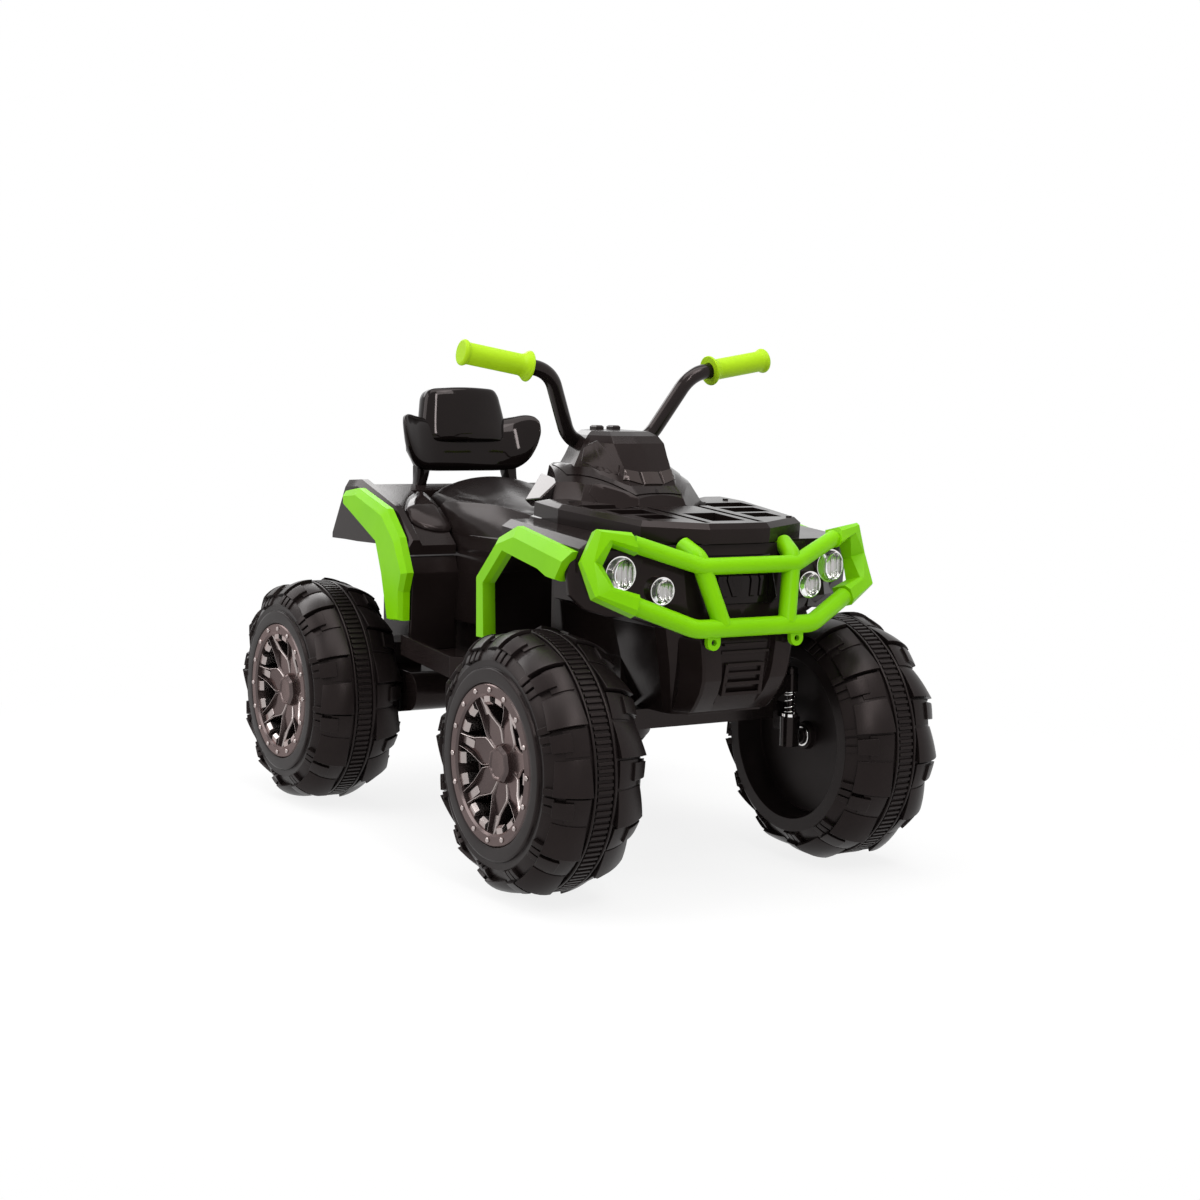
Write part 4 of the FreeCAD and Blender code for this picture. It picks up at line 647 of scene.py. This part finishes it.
def seat_cushion():
    piece = remeshed_copy("seat", "seat_cushion", 0.005)
    shape = piece.data
    low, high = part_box("seat")
    seam, held = {}, {}
    for vertex in shape.vertices:
        x, y, z = vertex.co
        rise = z - SEAT_LOW * MM
        share = (x - low[0]) / (high[0] - low[0])
        half = (0.1 - 0.034 * max(0.0, share - 0.3) / 0.7) - SEAM_INSET * MM
        inside = max(abs(y) - half, (x - high[0] + 0.02), (low[0] + 0.02 - x))
        if rise < 0.006:
            held[vertex.index] = 1.0
        elif rise > 0.02 and vertex.normal.z > 0.4:
            seam[vertex.index] = math.exp(-(inside / (4.0 * MM)) ** 2)
            if abs(inside) < 0.003:
                held[vertex.index] = 1.0
    start = [vertex.co.copy() for vertex in shape.vertices]
    moved = puffed(piece, held)
    for vertex, before, after in zip(shape.vertices, start, moved):
        shift = after - before
        if shift.length > PUFF_LIMIT:
            shift *= PUFF_LIMIT / shift.length
        vertex.co = before + shift - vertex.normal * SEAM_DEPTH * seam.get(vertex.index, 0.0)
    shape.shade_smooth()
    shape.materials.clear()
    shape.materials.append(FINISH["seat_cover"])
    relax = piece.modifiers.new("relaxed", "SMOOTH")
    relax.iterations = 2
    finer = piece.modifiers.new("finer", "SUBSURF")
    finer.levels = finer.render_levels = 1
    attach(piece, "chassis")
    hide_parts("seat")
    return piece


cushion = seat_cushion()
print("seat cushion:", len(cushion.data.vertices), "points")

# %% [markdown]
# The back rest is two gloss black mouldings: a wing pad whose ears curl forward, and a head pad above it. Both are
# hollow blow moulded shells with broad, smooth curves, so they are lofted from rounded sections and not from corners.

# %% Back rest pads
REST_BASE = Vector((-294.0, 0.0, 522.0))
REST_LEAN = math.radians(14.5)
WING = [(0, 0, 84, 0, 28), (34, 0, 84, 0, 28), (62, 0, 84, 2, 28), (86, 1, 86, 9, 26), (104, 12, 87, 18, 22),
        (116, 31, 83, 25, 17), (121.5, 48, 75, 28, 9)]
HEAD = [(0, 43), (40, 43), (67, 44), (78, 53), (77, 70), (70, 108), (66, 122), (57, 131), (36, 132.5), (0, 133)]
HEAD_FRONT, HEAD_CROWN, HEAD_MIDDLE = 16.0, 420.0, 88


def leaned(x, y, z):
    flat, steep = math.cos(REST_LEAN), math.sin(REST_LEAN)
    return REST_BASE + Vector((x * flat - z * steep, y, x * steep + z * flat))


def between(table, share):
    place = share * (len(table) - 1)
    spot = min(int(place), len(table) - 2)
    t = place - spot
    before, here = table[max(spot - 1, 0)], table[spot]
    there, after = table[spot + 1], table[min(spot + 2, len(table) - 1)]
    row = []
    for a, b, c, d in zip(before, here, there, after):
        row.append(0.5 * (2 * b + (c - a) * t + (2 * a - 5 * b + 4 * c - d) * t * t + (3 * b - a - 3 * c + d) * t ** 3))
    return row


def rounded(turn, power):
    c, s = math.cos(turn), math.sin(turn)
    return math.copysign(abs(c) ** (2 / power), c), math.copysign(abs(s) ** (2 / power), s)


def wing_ring(y, low, high, front, thick, shrink=1.0):
    ring = []
    for step in range(40):
        c, s = rounded(2 * math.pi * step / 40, 3.2)
        bow = 2.5 * (1 - s * s)
        x = front - thick / 2 + shrink * (thick / 2 * c + (bow if c > 0 else 0.0))
        ring.append(leaned(x, y, (low + high) / 2 + shrink * (high - low) / 2 * s))
    return ring


def wing_shells():
    shares = [step / 24 for step in range(25)]
    half = [between(WING, share) for share in shares]
    rings = [wing_ring(-half[-1][0] - 1.0, *half[-1][1:], 0.6)]
    rings += [wing_ring(-row[0], *row[1:]) for row in reversed(half[1:])]
    rings += [wing_ring(*row) for row in half]
    rings.append(wing_ring(half[-1][0] + 1.0, *half[-1][1:], 0.6))
    return [skin(rings)]


def head_shells():
    half = [between(HEAD, step / 45) for step in range(46)]
    outline = half + [(-y, z) for y, z in reversed(half[1:-1])]
    rings = []
    for share, x in ((0.02, -28.0), (0.5, -28.0), (0.9, -27.5), (0.96, -25), (1.0, -19)):
        rings.append([leaned(x, y * share, HEAD_MIDDLE + (z - HEAD_MIDDLE) * share) for y, z in outline])
    for share, drop in ((1.0, 14), (0.99, 9), (0.965, 5), (0.92, 2.4), (0.84, 1.0), (0.7, 0.4), (0.5, 0.2), (0.3, 0.1),
                        (0.02, 0)):
        rings.append([leaned(HEAD_FRONT - drop - (y * share) ** 2 / HEAD_CROWN, y * share,
                             HEAD_MIDDLE + (z - HEAD_MIDDLE) * share) for y, z in outline])
    return [skin(rings)]


wing = make_piece("wing_cushion", wing_shells(), "chassis", "gloss_plastic")
head = make_piece("head_cushion", head_shells(), "chassis", "gloss_plastic")
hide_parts("wing_pad")
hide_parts("head_pad")
print("back rest pads lofted")

# %% [markdown]
# Two hollow struts carry the back rest. They bow outwards to the deck and swell at both ends, where the screws sit, so
# a soft square section is swept down a bent line. A straight bar would be simpler, but the real ones are moulded in
# one piece with the shell.

# %% Back rest struts
STRUT_LINE = [(14, 78, -15, 12, 12), (0, 79, -17, 11, 11), (-16, 82, -20, 9.5, 10), (-32, 88, -24, 9, 9.5),
              (-48, 95, -29, 10, 11), (-66, 101, -33, 13, 15)]


def strut(side):
    rings = []
    for step in range(16):
        z, y, x, wide, deep = between(STRUT_LINE, step / 15)
        ring = []
        for corner in range(28):
            c, s = rounded(2 * math.pi * corner / 28, 5)
            ring.append(leaned(x + deep * c, side * (y + wide * s), z))
        rings.append(ring)
    return skin(rings)


make_piece("rest_struts", [strut(1), strut(-1)], "chassis", "gloss_plastic")
print("two struts")

# %% [markdown]
# Each head lamp is a chrome cup with a silvered plate of upright flutes, which spread the beam, under a clear dome. The
# flutes are real half rounds with deep lines between them, since a bump would not throw the light sideways.

# %% Head lamps
LAMPS = ((22.5, 425.0, 168.0, 423.0), (18.0, 446.0, 118.0, 401.0))
CUP_RIM = 1.7
FLUTES, FLUTE_STEPS, FLUTE_DEEP = 7, 8, 2.2


def disc_ring(x, y, z, radius, steps=72):
    return [(x, y + radius * math.cos(2 * math.pi * step / steps), z + radius * math.sin(2 * math.pi * step / steps))
            for step in range(steps)]


def clear_dome(radius, x, y, z):
    size = radius - CUP_RIM
    rings = [disc_ring(x + 0.7, y, z, 0.2), disc_ring(x + 0.7, y, z, size)]
    for share in (1.0, 0.97, 0.9, 0.8, 0.65, 0.5, 0.3, 0.1, 0.01):
        rings.append(disc_ring(x + 1.3 + 3.4 * (1 - share * share), y, z, size * share))
    return skin(rings)


def fluted_plate(radius, x, y, z):
    size = radius - CUP_RIM - 0.2
    columns = FLUTES * FLUTE_STEPS
    rings = []
    for column in range(columns + 1):
        across = 2 * column / columns - 1
        turn = 2 * (column % FLUTE_STEPS) / FLUTE_STEPS - 1
        groove = FLUTE_DEEP * (1 - math.sqrt(max(0.0, 1 - turn * turn)))
        tall = size * math.sqrt(max(0.01, 1 - across * across))
        front, back = [], []
        for row in range(13):
            rise = tall * (row / 6 - 1)
            bowl = 2.0 * (1 - across * across - (rise / size) ** 2)
            front.append((x + 0.4 - groove - bowl, y + size * across, z + rise))
            back.append((x - 7, y + size * across, z + rise))
        rings.append(front + back[::-1])
    return skin(rings)


lens_shells, plate_shells = [], []
for radius, x, y, z in LAMPS:
    for side in (1, -1):
        lens_shells.append(clear_dome(radius, x, side * y, z))
        plate_shells.append(fluted_plate(radius, x, side * y, z))
lenses = make_piece("lamp_domes", lens_shells, "chassis", "lamp_clear")
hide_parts("headlamp_lenses")
FINISH["lamp_silver"] = moulded("silvered_plate", (0.42, 0.4, 0.39), (0.56, 0.54, 0.53), (0.1, 0.2),
                                (40.0, 0.02, 0.001), 1.0)
make_piece("fluted_plates", plate_shells, "chassis", "lamp_silver")
print("lamps:", len(lens_shells))

# %% [markdown]
# Raised panels, panes and ledges follow the surface that they sit on. Their outline is thrown onto the construction
# along one direction, as a stencil is laid on, and the ring of points is then lifted a little. Cutting the shell would
# give real grooves, but a low step with a shadow line reads the same and leaves the construction whole.

# %% Panels laid on a surface
def surface_of(piece):
    shown = piece.evaluated_get(bpy.context.evaluated_depsgraph_get())
    shape = shown.to_mesh()
    points = [shown.matrix_world @ vertex.co for vertex in shape.vertices]
    return BVHTree.FromPolygons(points, [tuple(face.vertices) for face in shape.polygons])


def closed_line(corners, straight=True, steps=6):
    line = []
    for index in range(len(corners)):
        a, b, c, d = (corners[(index + shift) % len(corners)] for shift in (-1, 0, 1, 2))
        for step in range(steps):
            t = step / steps
            line.append([p + (q - p) * t for p, q in zip(b, c)] if straight else between([a, b, c, d], (1 + t) / 3))
    return line


def laid_panel(surface, outline, normal, lift, soft=2.0, straight=True, reach=40.0):
    normal = Vector(normal).normalized()
    dense = [Vector(point) for point in closed_line(outline, straight)]
    middle = sum(dense, Vector()) / len(dense)
    span = sum((point - middle).length for point in dense) / len(dense)

    def rested(point, height):
        start = (point + normal * reach) * MM
        hit, *_ = surface.ray_cast(start, -normal, 2 * reach * MM)
        base = point if hit is None else hit / MM
        return base + normal * height

    inner = 1 - soft / span
    steps = [(1.0, -1.5)]
    for turn in range(5):
        steps.append((1 + (inner - 1) * turn / 4, lift * (0.3 + 0.7 * math.sin(math.pi * turn / 8))))
    steps += [(inner * 0.7, lift), (inner * 0.4, lift), (0.02, lift)]
    return skin([[rested(middle + (point - middle) * share, height) for point in dense] for share, height in steps])


def mirrored(shell):
    points, faces = shell
    return [(x, -y, z) for x, y, z in points], faces


def beam(first, second, width, depth, across=(0, 0, 1)):
    first, second = Vector(first), Vector(second)
    along = (second - first).normalized()
    side = along.cross(Vector(across)).normalized()
    rise = side.cross(along)
    rings = []
    for end in (first, second):
        rings.append([end + side * (a * depth / 2) + rise * (b * width / 2)
                      for a, b in ((1, 1), (1, -1), (-1, -1), (-1, 1))])
    return skin(rings)


COWL_SKIN = surface_of(NODES["dash_cowl"])
REAR_SKIN = surface_of(NODES["rear_fenders"])
TAIL_SKIN = surface_of(NODES["centre_body"])
NOSE_SKIN = surface_of(NODES["nose_cowl"])
print("surfaces ready for panels")

# %% [markdown]
# Below the cushion the saddle runs down both flanks of the body in one smooth skirt, and a soft pad fills the corner
# between the seat and the rear fender. The skirt is lofted along the toy, because its curve changes from the wide rear
# to the narrow front. The tail is a plain ribbed panel.

# %% Saddle skirts, corner pads and tail
SKIRT_ROWS = [
    (-205, 96, 478, 104, 456, 108, 432, 111, 392, 114, 340, 117, 302),
    (-150, 94, 479, 103, 457, 107.5, 432, 111, 392, 114, 340, 117, 302),
    (-66, 81, 479, 95, 458, 103, 432, 109.5, 392, 113.5, 340, 117, 302),
    (0, 70, 472, 88, 452, 99, 428, 108.5, 390, 113, 340, 117, 302),
    (22, 66, 468, 85, 449, 97, 426, 108, 389, 113, 340, 117, 302),
]
CORNER_PAD = [(-262, -106, 487), (-238, -138, 478), (-196, -164, 461), (-166, -168, 446), (-150, -140, 434),
              (-152, -108, 436), (-185, -105, 458), (-225, -104, 476)]
TAIL_X = -405
TAIL_PANEL = [(-84, 330), (84, 330), (92, 345), (78, 425), (-78, 425), (-92, 345)]
TAIL_RIB = [(-58, 0), (58, 0), (62, 9), (-62, 9)]


def saddle_skirt():
    rings = []
    for step in range(25):
        x, *flat = between(SKIRT_ROWS, step / 24)
        curve = [between(list(zip(flat[::2], flat[1::2])), spot / 20) for spot in range(21)]
        rings.append([(x, -y, z) for y, z in curve] + [(x, 4 - y, z) for y, z in reversed(curve)])
    return skin(rings)


skirt = saddle_skirt()
make_piece("saddle_skirts", [skirt, mirrored(skirt)], "chassis", "body_plastic", edge=0.0008)
pad = laid_panel(REAR_SKIN, CORNER_PAD, (0.35, -0.1, 0.93), 10.0, 30.0, False)
make_piece("corner_pads", [pad, mirrored(pad)], "chassis", "body_plastic")
tail = [laid_panel(TAIL_SKIN, [(TAIL_X, y, z) for y, z in TAIL_PANEL], (-1, 0, 0), 3.0, 3.0)]
for z in (350, 372, 394):
    tail.append(laid_panel(TAIL_SKIN, [(TAIL_X, y, z + rise) for y, rise in TAIL_RIB], (-1, 0, 0), 6.0, 1.6))
make_piece("tail_panel", tail, "chassis", "body_plastic", edge=0.0008)
print("saddle skirts, corner pads and a tail with", len(tail) - 1, "ribs")

# %% [markdown]
# The handlebar pod is one hood over the clamp, blow moulded with broad facets and soft ridges. It is lofted from seven
# plans, and its underside follows the cone of the cowl with a small gap, so that it can turn. A shared well in its top
# takes the two keys.

# %% Handlebar hood
STEER_X = 119.5
SEAM_TOP, SEAM_FLAT, SEAM_SLOPE, SEAM_LIFT = 548.0, 85.0, 0.69, 1.6
HOOD_PLANS = [
    (500, [(137, 0), (135, 38), (45, 95), (-12, 87), (-34, 50), (-38, 0)]),
    (523, [(122.5, 0), (120, 38), (43, 88), (-12, 80), (-33, 48), (-37, 0)]),
    (545, [(107, 0), (105, 38), (40, 80), (-12, 72), (-31, 44), (-35, 0)]),
    (562, [(97, 0), (94, 40), (37, 71), (-12, 64), (-30, 41), (-33, 0)]),
    (580, [(85, 0), (82, 42), (34, 61), (-11, 55), (-28, 38), (-30.5, 0)]),
    (590, [(74, 0), (71, 39), (31, 53), (-10, 49), (-25, 35), (-28, 0)]),
    (596, [(58, 0), (56, 33), (26, 44), (-9, 41), (-23, 31), (-25, 0)]),
]
KEY_WELL = [(2.5, 0), (2.5, 21.5), (-7, 21.5), (-17.6, 21.5), (-17.6, 12), (-17.6, 0)]
WELL_TOP, WELL_FLOOR = 597.4, 588.0


def hood_ring(height, half):
    ring = []
    for x, y in closed_line(half + [(x, -y) for x, y in reversed(half[1:-1])]):
        seam = SEAM_TOP + SEAM_LIFT - max(0.0, math.hypot(x, y) - SEAM_FLAT) * SEAM_SLOPE
        ring.append((STEER_X + x, y, max(height, seam)))
    return ring


rim_plan = HOOD_PLANS[0][1]
hood_rings = [hood_ring(0, [(x * share, y * share) for x, y in rim_plan]) for share in (0.62, 0.8)]
hood_rings += [hood_ring(*plan) for plan in HOOD_PLANS]
hood_rings += [hood_ring(WELL_TOP, KEY_WELL), hood_ring(WELL_FLOOR, KEY_WELL)]
divider = beam((STEER_X - 17, 0, 592.6), (STEER_X + 2, 0, 592.6), 9.6, 13)
hood = make_piece("handlebar_hood", [skin(hood_rings), divider], "steering", "body_plastic", edge=0.0022)
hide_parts("handlebar_pod")
HOOD_SKIN = surface_of(hood)
print("handlebar hood:", len(hood_rings), "rings")

# %% [markdown]
# The hood has a smoked screen of three panes along its lower front, like the dials of a big quad, and a flat cheek on
# each side. On the cowl below it, a rounded panel marks each flank.

# %% Screen panes and flank panels
CENTRE_PANE = [(228, -14, 541), (228, 14, 541), (242, 15.3, 525), (242, -15.3, 525)]
SIDE_PANE = [(227, -16.5, 541), (221, -36, 543), (229, -43, 530), (241, -17.5, 525)]
CHEEK = [(174, -53, 585), (218, -42, 551), (222, -47, 538), (202, -63, 543), (166, -74, 556), (158, -64, 574)]
FLANK = [(206, -76, 522), (212, -68, 524), (244, -40, 513), (258, -33, 506), (264, -37, 496), (252, -60, 493),
         (228, -80, 497), (208, -84, 510)]
panes = [laid_panel(HOOD_SKIN, CENTRE_PANE, (0.82, 0, 0.57), 1.8, 1.2)]
side_pane = laid_panel(HOOD_SKIN, SIDE_PANE, (0.7, -0.5, 0.5), 1.8, 1.2)
panes += [side_pane, mirrored(side_pane)]
FINISH["smoked"] = moulded("smoked_screen_plastic", (0.016, 0.011, 0.01), (0.022, 0.016, 0.014), (0.04, 0.08),
                           (60.0, 0.03, 0.001), mirror=0.5)
make_piece("smoked_screen", panes, "steering", "smoked", 0.0003)
cheek = laid_panel(HOOD_SKIN, CHEEK, (0.34, -0.82, 0.46), 0.9, 1.6)
make_piece("hood_cheeks", [cheek, mirrored(cheek)], "steering", "body_plastic", edge=0.0005)
flank = laid_panel(COWL_SKIN, FLANK, (0.64, -0.57, 0.5), 0.8, 1.2)
make_piece("cowl_flanks", [flank, mirrored(flank)], "chassis", "body_plastic", edge=0.0008)
print("screen panes:", len(panes), "and two flank panels")

# %% [markdown]
# Beside the hood a polished knee panel stands out from each side of the cowl. It is a thick plate with softened edges,
# tilted so that it mirrors the light behind the toy. It stays below the hood's sweep, so that the hood can turn.

# %% Knee panels
KNEE = [Vector(corner) for corner in ((102, -98, 535), (162, -104, 527.5), (158, -133, 502), (110, -129, 497))]
KNEE_FACING = (KNEE[3] - KNEE[0]).cross(KNEE[1] - KNEE[0]).normalized()
knee_middle = sum(KNEE, Vector()) / 4
knee = skin([[knee_middle + (corner - knee_middle) * share + KNEE_FACING * lift for corner in KNEE]
             for share, lift in ((1.0, -14.0), (1.0, 0.0), (0.94, 1.2))])
FINISH["polished"] = moulded("polished_plastic", (0.012, 0.01, 0.01), (0.016, 0.013, 0.013), (0.1, 0.16),
                             (60.0, 0.03, 0.001), mirror=0.45)
make_piece("knee_panels", [knee, mirrored(knee)], "chassis", "polished", 0.0016)
print("two knee panels")

# %% [markdown]
# Below the bumper the nose runs down into a chin guard: two broad pillars, a sunken middle with a ladder shaped vent
# and ledges, and cheeks that turn back to the wheels. It is laid out as a relief, one row of points for each height.

# %% Chin guard
CHIN_ROWS = [(340, 461), (332, 463), (300, 462), (284, 459), (266, 453), (250, 444), (239, 434)]
PILLAR_IN, PILLAR_OUT, CHIN_HALF = 43.0, 74.0, 88.0
PILLAR_PROUD = 9.0


def chin_row(z, face):
    low = max(0.0, min(1.0, (z - 246) / 34))
    proud = PILLAR_PROUD * low
    lean = 12 * (340 - z) / 100
    half = [(0, face), (PILLAR_IN - lean, face), (PILLAR_IN - lean + 2, face + proud),
            (PILLAR_OUT - lean - 4, face + proud), (PILLAR_OUT - lean, face + proud - 2), (CHIN_HALF - lean, face - 24)]
    front = [(x, -y, z) for y, x in reversed(half[1:])] + [(x, y, z) for y, x in half]
    back = 424 if z > 300 else 410
    return front + [(back, CHIN_HALF - lean - 1, z), (back, 1 + lean - CHIN_HALF, z)]


make_piece("chin_guard", [skin([chin_row(*row) for row in CHIN_ROWS])], "chassis", "body_plastic", edge=0.0016)
ladder = []
for y in (-28, 28):
    ladder.append(beam((464.0, y, 305), (456.0, y * 1.04, 262), 6, 7, (0, 1, 0)))
for x, z in ((464.2, 303), (462.4, 291), (460.4, 278), (456.6, 264)):
    ladder.append(beam((x, -28, z), (x, 28, z), 5, 6))
for x, z, half in ((464.6, 330, 34), (464.2, 320, 38)):
    ladder.append(beam((x, -half, z), (x, half, z), 4, 5))
make_piece("chin_ladder", ladder, "chassis", "body_plastic", edge=0.0007)
print("chin guard with", len(ladder), "bars")

# %% [markdown]
# Between the bumper's uprights the nose carries a plain embossed plate in place of a grille with openings: slanted
# ridges on a dark ground. Each ridge is laid on the nose like the panels above.

# %% Nose plate
PLATE_LOW, PLATE_HIGH, PLATE_HALF = 381.0, 444.0, 59.0


def nose_face(y, z):
    hit, *_ = NOSE_SKIN.ray_cast(Vector((600, y, z)) * MM, Vector((-1, 0, 0)))
    return hit.x / MM if hit else 440.0


def nose_bar(corners, proud, soft=2.0):
    return laid_panel(NOSE_SKIN, [(nose_face(y, z), y, z) for y, z in corners], (1, 0, 0), proud, soft)


plate = [nose_bar([(-PLATE_HALF, PLATE_LOW + 6), (-PLATE_HALF + 8, PLATE_LOW), (PLATE_HALF - 8, PLATE_LOW),
                   (PLATE_HALF, PLATE_LOW + 6), (PLATE_HALF - 6, PLATE_HIGH), (6 - PLATE_HALF, PLATE_HIGH)], 2.6, 3.0)]
for side in (1, -1):
    for step in range(3):
        y = 10 + 15 * step
        plate.append(nose_bar([(side * y, 390), (side * (y + 7), 390), (side * (y + 13), 412), (side * (y + 7), 434),
                               (side * y, 434), (side * (y + 6), 412)], 4.6, 1.6))
nose_plate = make_piece("nose_plate", plate, "chassis", "gloss_plastic", 0.0006)
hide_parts("grille")
print("nose plate with", len(plate) - 1, "ridges")

# %% [markdown]
# A dark wing frames each pair of lamps towards the bumper's corner. Its section runs along a path of outer and inner
# points, and it leans back with the nose as it goes out.

# %% Lamp wings
WING_PATH = [((120, 370), (122, 384)), ((150, 367), (148, 388)), ((178, 367), (172, 392)), ((204, 376), (188, 400)),
             ((221, 394), (194, 412)), ((224, 420), (196, 424)), ((220, 442), (195, 440)), ((206, 453), (186, 452))]
wing_rings = []
for outer, inner in WING_PATH:
    ring = [(y, z, deep) for (y, z), deep in ((outer, -6), (outer, 2), (inner, 3), (inner, -6))]
    wing_rings.append([(436 - 0.5 * (y - 120) + deep, y, z) for y, z, deep in ring])
lamp_wing = skin(wing_rings)
make_piece("lamp_wings", [lamp_wing, mirrored(lamp_wing)], "chassis", "body_plastic", edge=0.0015)
print("two lamp wings")

# %% [markdown]
# Behind each front wheel a short plated spring sits round the kingpin, between the axle beam and a cup. It is steel
# wire wound on a mandrel, with its end turns closed up so that they sit flat. The construction's coil is rigid, so this
# one takes its place: it is wound once to the length of that coil and stays fixed, riding no body.

# %% Front springs
COIL_WIRE, COIL_RADIUS, COIL_TURNS, TURN_STEPS = 2.2, 7.6, 5, 24
END_CLOSING = 0.11
for side in ("left", "right"):
    low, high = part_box("front_spring_" + side)
    foot = Vector(((low.x + high.x) / 2, (low.y + high.y) / 2, low.z)) / MM
    free = (high.z - low.z) / MM - COIL_WIRE
    wire = []
    for step in range(COIL_TURNS * TURN_STEPS + 1):
        share = step / (COIL_TURNS * TURN_STEPS)
        rise = COIL_WIRE / 2 + free * (share - END_CLOSING * math.sin(2 * math.pi * share))
        turn = 2 * math.pi * step / TURN_STEPS
        out = Vector((math.cos(turn), math.sin(turn), 0))
        middle = foot + out * COIL_RADIUS + Vector((0, 0, rise))
        wire.append([middle + (out * math.cos(a) + Vector((0, 0, math.sin(a)))) * (COIL_WIRE / 2)
                     for a in (math.pi * k / 5 for k in range(10))])
    coil = make_piece("coil_spring_" + side, [skin(wire)], None, "steel_bright")
    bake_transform(coil)
    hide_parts("front_spring_" + side)
print("two springs of", COIL_TURNS, "turns")
